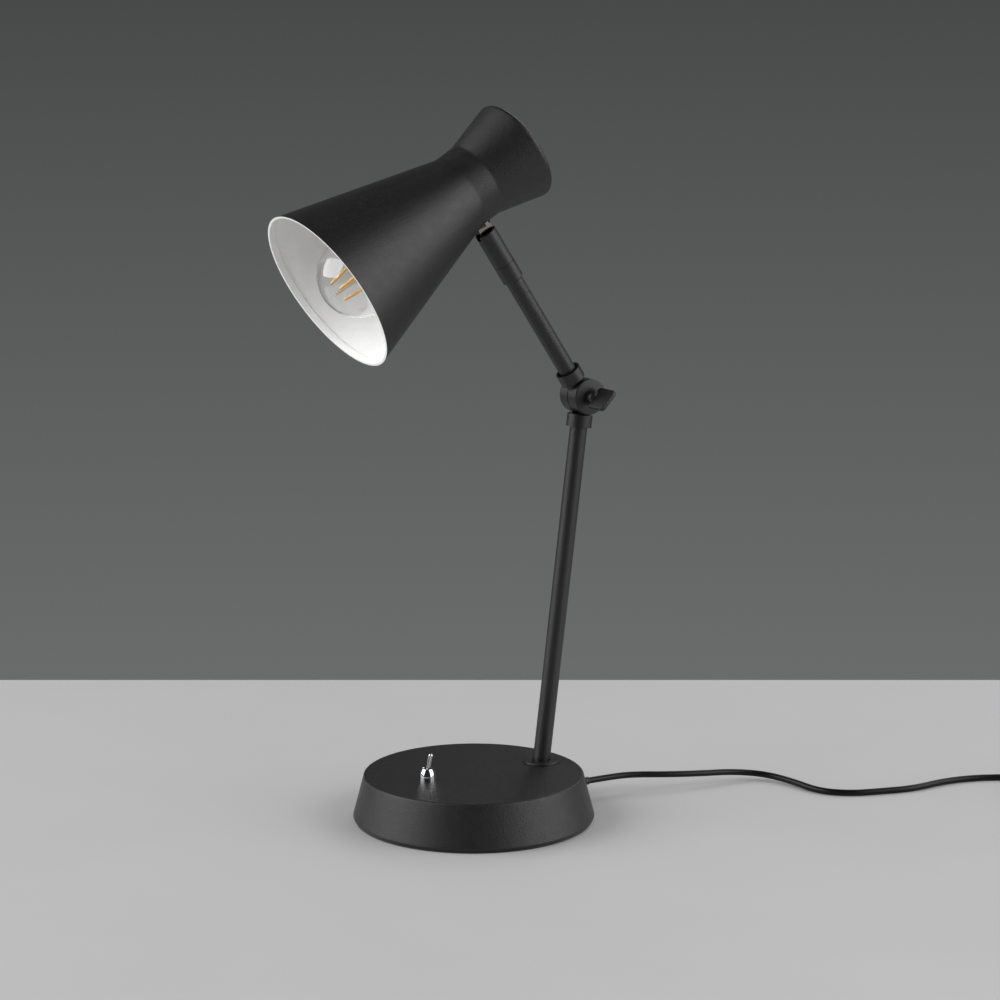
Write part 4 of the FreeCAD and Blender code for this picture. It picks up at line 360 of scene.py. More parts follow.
def rounded_outline(corners, rounds, steps=8):
    """An outline's points, each corner turned on an arc. The arc of radius r starts r times the
    tangent of half the turn before the corner, and its angle grows evenly through the turn."""
    corners = np.array(corners, float)
    rounds = np.array(rounds, float)
    runs = np.roll(corners, -1, axis=0) - corners
    leaving = np.arctan2(runs[:, 1], runs[:, 0])
    coming = np.roll(leaving, 1)
    turn = (leaving - coming + np.pi) % (2 * np.pi) - np.pi
    turn = np.where(rounds > 0, turn, 0.0)
    ahead = np.stack([np.cos(coming), np.sin(coming)], axis=1)
    inward = np.sign(turn)[:, None] * np.stack([-ahead[:, 1], ahead[:, 0]], axis=1)
    start = corners - ahead * (rounds * np.tan(np.abs(turn) / 2))[:, None]
    arm = -inward * rounds[:, None]
    angle = turn[:, None] * np.linspace(0, 1, steps)
    x = arm[:, :1] * np.cos(angle) - arm[:, 1:] * np.sin(angle)
    y = arm[:, :1] * np.sin(angle) + arm[:, 1:] * np.cos(angle)
    middle = (start - arm)[:, None]
    return (middle + np.stack([x, y], axis=2)).reshape(-1, 2)


def spaced(outline, gap):
    """The outline with more points on its long runs, no more than gap apart along its length."""
    pieces = np.hypot(*np.diff(outline, axis=0).T)
    length = np.concatenate([[0], np.cumsum(pieces)])
    even = np.linspace(0, length[-1], int(length[-1] / gap) + 2)
    stations = np.unique(np.concatenate([length, even]).round(6))
    return np.stack([np.interp(stations, length, outline[:, k]) for k in (0, 1)], axis=1)


def spun(outline, count=128):
    """A surface of revolution: (radius r, height z) at angle t is (r cos t, r sin t, z)."""
    angle = np.linspace(0, 2 * np.pi, count, endpoint=False)
    ring = np.stack([np.cos(angle), np.sin(angle), np.zeros(count)], axis=1)
    return outline[:, None, :1] * ring + outline[:, None, 1:] * np.array([0, 0, 1.0])


def piece(name, grids, finishes, lean=0.0, at=(0, 0, 0)):
    """One object from surfaces on grids of points in mm, each closed round its columns. The
    points turn about Y by lean degrees and move to their place. The grids take the finishes
    in turn, and any grids left over take the last one. Seams and poles are merged and faces
    turned outwards."""
    angle = math.radians(lean)
    turn = np.array([[math.cos(angle), 0, math.sin(angle)],
                     [0, 1, 0],
                     [-math.sin(angle), 0, math.cos(angle)]])
    faces = []
    numbers = []
    count = 0
    for number, grid in enumerate(grids):
        index = count + np.arange(grid.shape[0] * grid.shape[1]).reshape(grid.shape[:2])
        beside = np.roll(index, -1, axis=1)
        quads = np.stack([index[:-1], beside[:-1], beside[1:], index[1:]], axis=-1).reshape(-1, 4)
        faces.append(quads)
        numbers.append(np.full(len(quads), min(number, len(finishes) - 1)))
        count += index.size
    points = np.vstack([grid.reshape(-1, 3) for grid in grids])
    points = (points @ turn.T + np.array(at)) * MM
    mesh = bpy.data.meshes.new(name)
    mesh.from_pydata(points.tolist(), [], np.vstack(faces).tolist())
    mesh.polygons.foreach_set("material_index", np.concatenate(numbers).astype(np.int32))
    for finish in finishes:
        mesh.materials.append(finish)
    work = bmesh.new()
    work.from_mesh(mesh)
    bmesh.ops.remove_doubles(work, verts=work.verts, dist=MM / 1000)
    bmesh.ops.recalc_face_normals(work, faces=work.faces)
    work.to_mesh(mesh)
    work.free()
    made = bpy.data.objects.new(name, mesh)
    bpy.context.scene.collection.objects.link(made)
    return smoothed(made)


def smoothed(made, crease=30.0):
    """Shade smooth, but sharp where two faces meet at more than the crease in degrees."""
    made.data.shade_smooth()
    made.data.set_sharp_from_angle(angle=math.radians(crease))
    return made


def combined(made, tool, operation):
    """One object united with another, or cut by it; the other is used up."""
    change = made.modifiers.new("change", "BOOLEAN")
    change.solver = "EXACT"
    change.operation = operation
    change.object = tool
    bpy.context.view_layer.update()
    seen = made.evaluated_get(bpy.context.evaluated_depsgraph_get())
    shaped = bpy.data.meshes.new_from_object(seen)
    work = bmesh.new()
    work.from_mesh(shaped)
    bmesh.ops.remove_doubles(work, verts=work.verts, dist=MM / 1000)
    bmesh.ops.dissolve_degenerate(work, edges=work.edges, dist=MM / 1000)
    work.to_mesh(shaped)
    work.free()
    made.modifiers.clear()
    made.data = shaped
    bpy.data.objects.remove(tool)
    return smoothed(made)


def rod(radius, low, high):
    """The outline of a solid rod between two heights."""
    return np.array([(0, low), (radius, low), (radius, high), (0, high)], float)


# Powder coat, fine textured, baked: charcoal black with a soft satin light, a grain
# like fine sand and a slow ripple where the powder flowed together.
COAT_GRAIN = 0.9         # mm, drawn coarser than the powder's 0.1 mm so that it shows
COAT_RIPPLE = 5.0
powder_coat, tree, place = begin("black_powder_coat")
grain = add(tree, "TexNoise", {"Vector": place, "Scale": 1 / (COAT_GRAIN * MM), "Detail": 3.0,
                               "Roughness": 0.6})
ripple = add(tree, "TexNoise", {"Vector": place, "Scale": 1 / (COAT_RIPPLE * MM), "Detail": 2.0})
tone = add(tree, "Mix", {"Factor": grain.outputs["Fac"], "A": linear("#131314"),
                         "B": linear("#1a1a1b")}, data_type="RGBA")
gloss = add(tree, "MapRange", {"Value": ripple.outputs["Fac"], "From Min": 0.3, "From Max": 0.7,
                               "To Min": 0.38, "To Max": 0.46})
wave = add(tree, "Bump", {"Height": ripple.outputs["Fac"], "Distance": 0.03 * MM})
relief = add(tree, "Bump", {"Height": grain.outputs["Fac"], "Distance": 0.26 * MM,
                            "Normal": wave.outputs["Normal"]})
skin = add(tree, "BsdfPrincipled", {"Base Color": tone.outputs[2], "Roughness": gloss.outputs["Result"],
                                    "Normal": relief.outputs["Normal"]})
add(tree, "OutputMaterial", {"Surface": skin.outputs["BSDF"]})

slope = (BASE_RADIUS - BASE_TOP_RADIUS) / (BASE_HEIGHT - BASE_FOOT)
inner_top = BASE_HEIGHT - BASE_WALL
cover_outline = rounded_outline(
    [(0, BASE_HEIGHT), (BASE_TOP_RADIUS, BASE_HEIGHT), (BASE_RADIUS, BASE_FOOT),
     (BASE_RADIUS - BASE_WALL, BASE_FOOT), (BASE_TOP_RADIUS + slope * BASE_WALL - BASE_WALL, inner_top),
     (0, inner_top)],
    [0, BASE_TOP_ROUND, BASE_FOOT_ROUND, 0.3, BASE_WALL / 2, 0])
cover = piece("base_cover", [spun(spaced(cover_outline, 4.0), 256)], [powder_coat])
stud_high = inner_top + BASE_WALL / 2
stud_outline = np.array([(STUD_BORE, STUD_LOW), (STUD_RADIUS, STUD_LOW), (STUD_RADIUS, stud_high),
                         (STUD_BORE, stud_high), (STUD_BORE, STUD_LOW)])
for angle in STUD_ANGLES:
    turn = math.radians(angle)
    stud = piece("stud", [spun(stud_outline, 48)], [powder_coat],
                 at=(STUD_CIRCLE * math.cos(turn), STUD_CIRCLE * math.sin(turn), 0))
    cover = combined(cover, stud, "UNION")
for radius, x in ((NIPPLE_HOLE, POLE_FOOT_X), (BUSH_HOLE, SWITCH_X)):
    hole = piece("hole", [spun(rod(radius, inner_top - 1, BASE_HEIGHT + 1), 64)], [powder_coat],
                 at=(x, 0, 0))
    cover = combined(cover, hole, "DIFFERENCE")
hole = piece("hole", [spun(rod(GLAND_HOLE, BASE_TOP_RADIUS, BASE_RADIUS + 1), 64)], [powder_coat],
             lean=90, at=(0, 0, CORD_HEIGHT))
cover = combined(cover, hole, "DIFFERENCE")
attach(cover, "base")
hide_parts("base_shell")

# Gland: the cord's strain relief, moulded in black nylon 6. It snaps into the cover
# from inside against its collar, and its nose tapers out over the cord in soft rings.
GLAND_START = 74.0
GLAND_NOSE = 101.0
GLAND_RADIUS = 4.5
GLAND_NOSE_RADIUS = 2.95
GLAND_SHOULDER = (3.6, 90.6)    # the nose narrows fast to here, then slowly
GLAND_BORE = 2.43
GLAND_COLLAR_RADIUS = 6.2
GLAND_COLLAR = (82.6, 84.6)
GLAND_TAPER = 88.0
GLAND_RINGS = 5
GLAND_RING_DEPTH = 0.3
GLAND_LIP = 0.5          # plain at the nose's end, past the last ring

# Nylon, moulded: black with an even satin skin, its sheen broken by the mould's
# fine spark-eroded grain.
NYLON_GRAIN = 0.4        # mm
moulded_nylon, tree, place = begin("moulded_nylon")
grain = add(tree, "TexNoise", {"Vector": place, "Scale": 1 / (NYLON_GRAIN * MM), "Detail": 2.0})
relief = add(tree, "Bump", {"Height": grain.outputs["Fac"], "Distance": 0.02 * MM})
tone = add(tree, "Mix", {"Factor": grain.outputs["Fac"], "A": linear("#131314"),
                         "B": linear("#19191a")}, data_type="RGBA")
skin = add(tree, "BsdfPrincipled", {"Base Color": tone.outputs[2], "Roughness": 0.38, "IOR": 1.53,
                                    "Normal": relief.outputs["Normal"]})
add(tree, "OutputMaterial", {"Surface": skin.outputs["BSDF"]})

gland_outline = spaced(rounded_outline(
    [(GLAND_BORE, GLAND_START), (GLAND_RADIUS, GLAND_START), (GLAND_RADIUS, GLAND_COLLAR[0]),
     (GLAND_COLLAR_RADIUS, GLAND_COLLAR[0]), (GLAND_COLLAR_RADIUS, GLAND_COLLAR[1]),
     (GLAND_RADIUS, GLAND_COLLAR[1]), (GLAND_RADIUS, GLAND_TAPER), GLAND_SHOULDER,
     (GLAND_NOSE_RADIUS, GLAND_NOSE), (GLAND_BORE, GLAND_NOSE), (GLAND_BORE, GLAND_START)],
    [0, 0.3, 0, 0.3, 0.3, 0, 0.6, 1.5, 0.2, 0, 0]), 0.3)
# Along the nose the radius dips by a raised cosine, once for each ring
rings_run = GLAND_NOSE - GLAND_LIP - GLAND_SHOULDER[1]
share = np.clip((gland_outline[:, 1] - GLAND_SHOULDER[1]) / rings_run, 0, 1)
dip = GLAND_RING_DEPTH / 2 * (1 - np.cos(2 * np.pi * GLAND_RINGS * share))
gland_outline[:, 0] -= np.where(gland_outline[:, 0] > GLAND_BORE + GLAND_RING_DEPTH / 2, dip, 0.0)
gland = piece("ribbed_gland", [spun(gland_outline, 64)], [moulded_nylon], lean=90,
              at=(0, 0, CORD_HEIGHT))
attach(gland, "base")
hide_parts("cord_gland")

# Inside the base: the cord's sheathed end under a moulded clamp, and the terminal
# block where its cores meet those of the switch and the pole.
dress(extruded_pvc, "mains_lead")
dress(moulded_nylon, "cord_clamp", "terminal_block", "switch_body", "friction_disc")

# Cores: copper in PVC, blue on one side of the lamp's plane and brown on the other
core_pvc, tree, place = begin("core_pvc")
side = add(tree, "SeparateXYZ", {"Vector": place}).outputs["Y"]
which = add(tree, "Math", {0: side, 1: 0.0}, operation="GREATER_THAN")
tone = add(tree, "Mix", {"Factor": which.outputs[0], "A": linear("#1d4f9e"), "B": linear("#5b3218")},
           data_type="RGBA")
skin = add(tree, "BsdfPrincipled", {"Base Color": tone.outputs[2], "Roughness": 0.36, "IOR": 1.53})
add(tree, "OutputMaterial", {"Surface": skin.outputs["BSDF"]})
dress(core_pvc, "base_leads", "arm_leads", "head_leads")

# Pole: a drawn steel tube, 13 mm outside with a 1 mm wall. It stands on the cover at
# a lean, turned down a little at its foot inside the rosette, and is screwed fast.
POLE_LEAN = 7.2
POLE_REACH = 278.2
TUBE_RADIUS = 6.5
TUBE_WALL = 1.0
FOOT_STEP = 0.5
FOOT_HEIGHT = 2.4        # of the turned-down foot, above the base's top
TUBE_SEAT = 19.6         # from the elbow's axis to the tube's end in its cup
BEND_IN = 20.0           # above here the tube's rings are square to it


def along(lean, distance):
    """The step of one distance in the XZ plane, lean degrees from upright."""
    return np.array([math.sin(math.radians(lean)), 0, math.cos(math.radians(lean))]) * distance


POLE_FOOT = np.array([POLE_FOOT_X, 0, BASE_HEIGHT])
ELBOW = POLE_FOOT + along(POLE_LEAN, POLE_REACH)
tube_top = POLE_REACH - TUBE_SEAT
foot_top = FOOT_HEIGHT / math.cos(math.radians(POLE_LEAN))
bore = TUBE_RADIUS - TUBE_WALL
foot_radius = TUBE_RADIUS - FOOT_STEP
pole_outline = spaced(rounded_outline(
    [(bore, 0), (foot_radius, 0), (foot_radius, foot_top), (TUBE_RADIUS, foot_top),
     (TUBE_RADIUS, tube_top), (bore, tube_top), (bore, 0)],
    [0, 0, 0, 0.15, 0.3, 0, 0], 5), 6.0)
pole_grid = spun(pole_outline, 96)
# The foot is cut level: near it a ring's height grows by x times the lean's tangent
level = np.clip(1 - (pole_grid[..., 2] - foot_top) / BEND_IN, 0, 1)
pole_grid[..., 2] += level * pole_grid[..., 0] * math.tan(math.radians(POLE_LEAN))
pole = piece("pole_tube", [pole_grid], [powder_coat], lean=POLE_LEAN, at=POLE_FOOT)
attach(pole, "base")
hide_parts("lower_tube")
dress(powder_coat, "foot_rosette")

# Switch: a bat-handle toggle under the cover, its threaded bush held by a nut below
# and by a domed nut above. Bush, nut and handle are brass, polished and chromed.
CHROME_HAZE = 8.0        # mm, faint clouds left by the polishing wheel
bright_chrome, tree, place = begin("bright_chrome")
haze = add(tree, "TexNoise", {"Vector": place, "Scale": 1 / (CHROME_HAZE * MM), "Detail": 2.0})
gloss = add(tree, "MapRange", {"Value": haze.outputs["Fac"], "From Min": 0.3, "From Max": 0.7,
                               "To Min": 0.04, "To Max": 0.08})
skin = add(tree, "BsdfPrincipled", {"Base Color": linear("#dcdde0"), "Metallic": 1.0,
                                    "Roughness": gloss.outputs["Result"]})
add(tree, "OutputMaterial", {"Surface": skin.outputs["BSDF"]})

DOME_NUT_SIDE = [(0.0, 6.05), (3.2, 5.85), (6.1, 5.3), (9.0, 4.0)]    # height, radius
DOME_NUT_MOUTH = 3.5
DOME_NUT_LIP_DROP = 0.2
THREAD_TOP = 6.0
THREAD_RADIUS = 3.05
LEVER_THROW = 12.0
LEVER_PIVOT = 5.4        # above the base's top
LEVER_TAIL = 3.4
LEVER_TAIL_RADIUS = 0.9
LEVER_BALL = 2.2
LEVER_RADIUS = 1.4
LEVER_TIP = 1.7
LEVER_LENGTH = 14.8

# The nut's side is the cubic of height that passes through its four given radii
side_heights, side_radii = np.array(DOME_NUT_SIDE).T
nut_height = side_heights[-1]
levels = np.linspace(0, nut_height, 33)
side = np.stack([np.polyval(np.polyfit(side_heights, side_radii, 3), levels), levels], axis=1)
mouth = [(DOME_NUT_MOUTH, nut_height - DOME_NUT_LIP_DROP), (DOME_NUT_MOUTH, THREAD_TOP),
         (THREAD_RADIUS, THREAD_TOP), (THREAD_RADIUS, 0), (side_radii[0], 0)]
dome_nut = piece("dome_nut", [spun(np.vstack([side, mouth]), 96)], [bright_chrome],
                 at=(SWITCH_X, 0, BASE_HEIGHT))
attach(dome_nut, "base")
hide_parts("switch_dome_nut")

# The handle is a tail, a ball that rocks in the bush, a shank that swells to its
# end, and a half sphere there
ball_low = math.acos(LEVER_TAIL_RADIUS / LEVER_BALL)
ball_high = math.acos(LEVER_RADIUS / LEVER_BALL)
rolling = np.linspace(-ball_low, ball_high, 24)
tip_turn = np.linspace(0, math.pi / 2, 12)
tip_middle = LEVER_LENGTH - LEVER_TIP
lever_outline = np.vstack([
    [(0, -LEVER_TAIL), (LEVER_TAIL_RADIUS, -LEVER_TAIL)],
    np.stack([LEVER_BALL * np.cos(rolling), LEVER_BALL * np.sin(rolling)], axis=1),
    np.stack([LEVER_TIP * np.cos(tip_turn), tip_middle + LEVER_TIP * np.sin(tip_turn)], axis=1)])
lever_outline[-1, 0] = 0
lever = piece("toggle_lever", [spun(spaced(lever_outline, 0.5), 64)], [bright_chrome],
              lean=LEVER_THROW, at=(SWITCH_X, 0, BASE_HEIGHT + LEVER_PIVOT))
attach(lever, "switch_lever")
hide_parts("switch_lever")
dress(bright_chrome, "switch_bush")

# Contacts: the switch's terminals, the lampholder's thread and centre contact and the
# plug's pins. All are hard brass, pressed or turned, warm yellow with a drawn grain.
DRAW_LINE = 0.2          # mm
drawn_brass, tree, place = begin("drawn_brass")
streak = add(tree, "Mapping", {"Vector": place, "Scale": (1.0, 1.0, 0.05)})
lines = add(tree, "TexNoise", {"Vector": streak.outputs["Vector"], "Scale": 1 / (DRAW_LINE * MM),
                               "Detail": 2.0})
gloss = add(tree, "MapRange", {"Value": lines.outputs["Fac"], "From Min": 0.3, "From Max": 0.7,
                               "To Min": 0.2, "To Max": 0.32})
skin = add(tree, "BsdfPrincipled", {"Base Color": linear("#d8b468"), "Metallic": 1.0,
                                    "Roughness": gloss.outputs["Result"]})
add(tree, "OutputMaterial", {"Surface": skin.outputs["BSDF"]})
dress(drawn_brass, "switch_terminals", "holder_thread", "holder_contact", "plug_pins")

# Elbow: two knuckle halves in die-cast zinc, each a disc with a cup for its tube, and
# a thin slip disc between. The halves are spray enamelled in a satin black, finer in
# grain than the powder coat.
ENAMEL_GRAIN = 0.7       # mm, drawn coarser than the enamel's own so that it shows
satin_enamel, tree, place = begin("satin_black_enamel")
grain = add(tree, "TexNoise", {"Vector": place, "Scale": 1 / (ENAMEL_GRAIN * MM), "Detail": 2.0})
tone = add(tree, "Mix", {"Factor": grain.outputs["Fac"], "A": linear("#131314"),
                         "B": linear("#1a1a1b")}, data_type="RGBA")
relief = add(tree, "Bump", {"Height": grain.outputs["Fac"], "Distance": 0.08 * MM})
skin = add(tree, "BsdfPrincipled", {"Base Color": tone.outputs[2], "Roughness": 0.44,
                                    "Normal": relief.outputs["Normal"]})
add(tree, "OutputMaterial", {"Surface": skin.outputs["BSDF"]})
dress(satin_enamel, "upper_knuckle", "lower_knuckle", "wing_washer", "arm_sleeve", "fork",
      "pivot_screw")

# Wing screw: clamps the elbow. A threaded shank with a round hub and a flat paddle
# for thumb and finger, die cast in one piece and enamelled like the knuckle.
WING_TURN = 47.0
WING_SHANK = 3.0
WING_HUB = 5.2
WING_HUB_ROUND = 3.4
WING_HUB_BACK = -12.3    # places along Y, from the arms' middle
WING_HUB_FRONT = -20.3
WING_SHANK_END = 11.4
PADDLE_WIDTH = 17.6
PADDLE_BACK = -16.0
PADDLE_FRONT = -36.9
PADDLE_THICKNESS = 3.2
PADDLE_CORNER = 2.8
PADDLE_EDGE = 0.6


def crosswise(grid):
    """A surface made round Z, laid along Y instead."""
    return grid[..., [1, 2, 0]]


def slab(outline, thickness, edge, steps=6):
    """A flat plate on a closed outline that runs anticlockwise. Towards each face the outline
    moves in along its own normals as the edge turns over by a quarter circle, and each face
    closes at the outline's middle."""
    ahead = np.roll(outline, -1, axis=0) - np.roll(outline, 1, axis=0)
    outward = np.stack([ahead[:, 1], -ahead[:, 0]], axis=1) / np.hypot(*ahead.T)[:, None]
    turn = np.linspace(0, math.pi / 2, steps)
    inset = edge * (1 - np.sin(turn))
    height = edge * (1 - np.cos(turn)) - thickness / 2
    inset = np.concatenate([inset, inset[::-1]])
    height = np.concatenate([height, -height[::-1]])
    flat = outline[None] - outward[None] * inset[:, None, None]
    rows = np.concatenate([flat, np.broadcast_to(height[:, None, None], flat.shape[:2] + (1,))], axis=2)
    low = np.broadcast_to([*outline.mean(axis=0), -thickness / 2], rows[:1].shape)
    high = np.broadcast_to([*outline.mean(axis=0), thickness / 2], rows[:1].shape)
    return np.concatenate([low, rows, high])


half_width = PADDLE_WIDTH / 2
paddle_outline = rounded_outline(
    [(-half_width, PADDLE_FRONT), (half_width, PADDLE_FRONT), (half_width, PADDLE_BACK),
     (-half_width, PADDLE_BACK)], [PADDLE_CORNER] * 4)
hub_outline = rounded_outline(
    [(0, WING_HUB_FRONT), (WING_HUB, WING_HUB_FRONT), (WING_HUB, WING_HUB_BACK),
     (WING_SHANK, WING_HUB_BACK), (WING_SHANK, WING_SHANK_END), (0, WING_SHANK_END)],
    [0, WING_HUB_ROUND, 0.3, 0, 0.4, 0])
wing = piece("wing_screw_paddle", [crosswise(spun(hub_outline, 96))], [satin_enamel],
             lean=-WING_TURN, at=ELBOW)
paddle = piece("paddle", [slab(paddle_outline, PADDLE_THICKNESS, PADDLE_EDGE)], [satin_enamel],
               lean=-WING_TURN, at=ELBOW)
wing = combined(wing, paddle, "UNION")
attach(wing, "wing_screw")
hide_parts("wing_screw")

# Upper arm: the same tube as the pole, pressed into the elbow's cup at one end and
# into the sleeve at the other. Sleeve, journal and fork are turned from bar.
ARM_LEAN = -33.8
ARM_REACH = 145.2
ARM_TUBE_END = 117.0
PIN = ELBOW + along(ARM_LEAN, ARM_REACH)
arm_outline = spaced(rounded_outline(
    [(bore, TUBE_SEAT), (TUBE_RADIUS, TUBE_SEAT), (TUBE_RADIUS, ARM_TUBE_END), (bore, ARM_TUBE_END),
     (bore, TUBE_SEAT)], [0, 0.3, 0.3, 0, 0], 5), 6.0)
arm_tube = piece("arm_tube", [spun(arm_outline, 96)], [powder_coat], lean=ARM_LEAN, at=ELBOW)
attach(arm_tube, "arm")
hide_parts("upper_tube")

# Shade: one piece of 1 mm aluminium spun on a lathe into a cone, a waist and a flared
# tail with a low dome. The rim is hemmed inwards. It is powder coated black outside
# and white enamelled inside, down to the edge of the hem.
SHADE_LEAN = 58.7
RIM_RADIUS = 62.8
CONE_LENGTH = 124.0
NECK_RADIUS = 28.4
NECK_LENGTH = 17.0
TAIL_LENGTH = 40.0
TAIL_RADIUS = 38.7
TAIL_DOME = 3.0
TAIL_ROUND = 3.0
WAIST_ROUND = 9.0
SHADE_WALL = 1.0
HEM_WIDTH = 4.8
HEM_REACH = 1.8          # from the rim's outside to the hem's inside
HEM_ROUND = 0.5
CROWN_START = 0.85       # share of the tail's radius where the low dome's own points begin
PIN_STATION = 128.7
PIN_OFFSET = 40.7
STEM_HOLE = 4.05
RIM_CENTRE = PIN - along(SHADE_LEAN, PIN_STATION) - along(SHADE_LEAN + 90, PIN_OFFSET)

# White stove enamel: a clean white, sprayed and baked, smooth but for the faint waves
# that it dried in
ENAMEL_WAVE = 2.4        # mm
white_enamel, tree, place = begin("white_stove_enamel")
flow = add(tree, "TexNoise", {"Vector": place, "Scale": 1 / (ENAMEL_WAVE * MM), "Detail": 2.0})
tone = add(tree, "Mix", {"Factor": flow.outputs["Fac"], "A": linear("#eeeeee"),
                         "B": linear("#f3f3f2")}, data_type="RGBA")
relief = add(tree, "Bump", {"Height": flow.outputs["Fac"], "Distance": 0.02 * MM})
skin = add(tree, "BsdfPrincipled", {"Base Color": tone.outputs[2], "Roughness": 0.34,
                                    "Normal": relief.outputs["Normal"]})
add(tree, "OutputMaterial", {"Surface": skin.outputs["BSDF"]})

# The tail's crown is a low bowl: its height falls with the square of the radius
neck_end = CONE_LENGTH + NECK_LENGTH
tail_end = neck_end + TAIL_LENGTH
crown_radii = np.linspace(CROWN_START, 0, 18) * TAIL_RADIUS
crown = np.stack([crown_radii, tail_end + TAIL_DOME * (1 - (crown_radii / TAIL_RADIUS) ** 2)], axis=1)
corners = np.vstack([[(RIM_RADIUS, 0), (NECK_RADIUS, CONE_LENGTH), (NECK_RADIUS, neck_end),
                      (TAIL_RADIUS, tail_end)], crown])
rounds = np.array([0, WAIST_ROUND, WAIST_ROUND, TAIL_ROUND] + [0] * len(crown))
outside = spaced(rounded_outline(corners, rounds, 12), 2.5)
# The inside skin lies one wall's thickness in, along the outside's own normals
ahead = np.gradient(outside, axis=0)
outward = np.stack([ahead[:, 1], -ahead[:, 0]], axis=1) / np.hypot(*ahead.T)[:, None]
inside = (outside - outward * SHADE_WALL)[::-1]
inside[0, 0] = 0
hem_fall = (RIM_RADIUS - NECK_RADIUS) / CONE_LENGTH * HEM_WIDTH
hem_joint = np.array([np.interp(HEM_WIDTH, inside[::-1, 1], inside[::-1, 0]), HEM_WIDTH])
inside = np.vstack([inside[inside[:, 1] > HEM_WIDTH + 0.2], hem_joint])
hem = rounded_outline(
    [hem_joint, (RIM_RADIUS - HEM_REACH - hem_fall, HEM_WIDTH), (RIM_RADIUS - HEM_REACH, 0),
     (RIM_RADIUS, 0)],
    [0, 0.3, HEM_ROUND, 0])
shade = piece("spun_shade", [spun(outside, 256), spun(inside, 256), spun(hem, 256)],
              [powder_coat, white_enamel], lean=SHADE_LEAN, at=RIM_CENTRE)
stem_way = spun(rod(STEM_HOLE, 0, PIN_OFFSET), 48)[..., [2, 0, 1]] + np.array([0, 0, PIN_STATION])
hole = piece("hole", [stem_way], [powder_coat], lean=SHADE_LEAN, at=RIM_CENTRE)
shade = combined(shade, hole, "DIFFERENCE")
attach(shade, "head")
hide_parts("shade")

# Tab under the shade: steel, blanked and plated in black nickel, so it is a dark
# mirror with a smoky edge. The saddle washer and the stem's nut hold it.
NICKEL_CLOUD = 3.0       # mm
black_nickel, tree, place = begin("black_nickel_plate")
cloud = add(tree, "TexNoise", {"Vector": place, "Scale": 1 / (NICKEL_CLOUD * MM), "Detail": 2.0})
gloss = add(tree, "MapRange", {"Value": cloud.outputs["Fac"], "From Min": 0.3, "From Max": 0.7,
                               "To Min": 0.12, "To Max": 0.2})
skin = add(tree, "BsdfPrincipled", {"Base Color": linear("#4c4a47"), "Metallic": 1.0,
                                    "Roughness": gloss.outputs["Result"]})
add(tree, "OutputMaterial", {"Surface": skin.outputs["BSDF"]})
dress(black_nickel, "shade_tab")

# Lampholder: screwed to the strip under the tab. Its body is moulded in phenolic
# resin, black and hard, with a slightly mottled gloss.
RESIN_MOTTLE = 2.0       # mm
phenolic, tree, place = begin("moulded_phenolic")
mottle = add(tree, "TexNoise", {"Vector": place, "Scale": 1 / (RESIN_MOTTLE * MM), "Detail": 3.0})
tone = add(tree, "Mix", {"Factor": mottle.outputs["Fac"], "A": linear("#0f0e0e"),
                         "B": linear("#171515")}, data_type="RGBA")
gloss = add(tree, "MapRange", {"Value": mottle.outputs["Fac"], "From Min": 0.3, "From Max": 0.7,
                               "To Min": 0.18, "To Max": 0.28})
skin = add(tree, "BsdfPrincipled", {"Base Color": tone.outputs[2], "Roughness": gloss.outputs["Result"],
                                    "IOR": 1.6})
add(tree, "OutputMaterial", {"Surface": skin.outputs["BSDF"]})
dress(phenolic, "holder_body")

# Bulb: a clear globe blown in soda-lime glass, 0.8 mm thick, with a glass stem inside
# and a nickel-plated screw cap whose black glass insulator carries the contact.
GLASS_WALL = 0.8
BULB_OFFSET = 4.8
GLOBE_CENTRE = 27.0
GLOBE_RADIUS = 30.0
BLEND_ANGLE = 35.0
GLASS_NECK = 12.5
CAP_FRONT = 75.0
GLASS_END = 79.0
BLEND_PULL = 0.36        # share of the blend's length that its handles reach
blown_glass, tree, place = begin("blown_soda_glass")
skin = add(tree, "BsdfPrincipled", {"Base Color": linear("#ffffff"), "Roughness": 0.0, "IOR": 1.52,
                                    "Transmission Weight": 1.0})
add(tree, "OutputMaterial", {"Surface": skin.outputs["BSDF"]})


def glass_outline(inset):
    """Half the globe's section from its front: an arc, then a cubic with a handle at each end
    that runs along the arc and along the neck, then the straight neck."""
    globe = GLOBE_RADIUS - inset
    neck = GLASS_NECK - inset
    blend = math.radians(BLEND_ANGLE)
    sweep = np.linspace(-math.pi / 2, blend, 48)
    arc = np.stack([globe * np.cos(sweep), GLOBE_CENTRE + globe * np.sin(sweep)], axis=1)
    arc[0, 0] = 0
    start = arc[-1]
    pull = BLEND_PULL * (CAP_FRONT - start[1])
    first = start + np.array([-math.sin(blend), math.cos(blend)]) * pull
    last = np.array([neck, CAP_FRONT])
    second = last - (0, pull)
    t = np.linspace(0, 1, 32)[1:, None]
    s = 1 - t
    cubic = s ** 3 * start + 3 * s ** 2 * t * first + 3 * s * t ** 2 * second + t ** 3 * last
    return np.vstack([arc, cubic, [(neck, GLASS_END)]])


bulb_place = RIM_CENTRE + along(SHADE_LEAN + 90, BULB_OFFSET)
glass_section = np.vstack([glass_outline(0), glass_outline(GLASS_WALL)[::-1]])
globe = piece("globe_glass", [spun(glass_section, 128)], [blown_glass], lean=SHADE_LEAN, at=bulb_place)
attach(globe, "head")
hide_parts("bulb_glass")
globe.visible_shadow = False     # clear glass throws almost no shadow
dress(blown_glass, "bulb_stem")

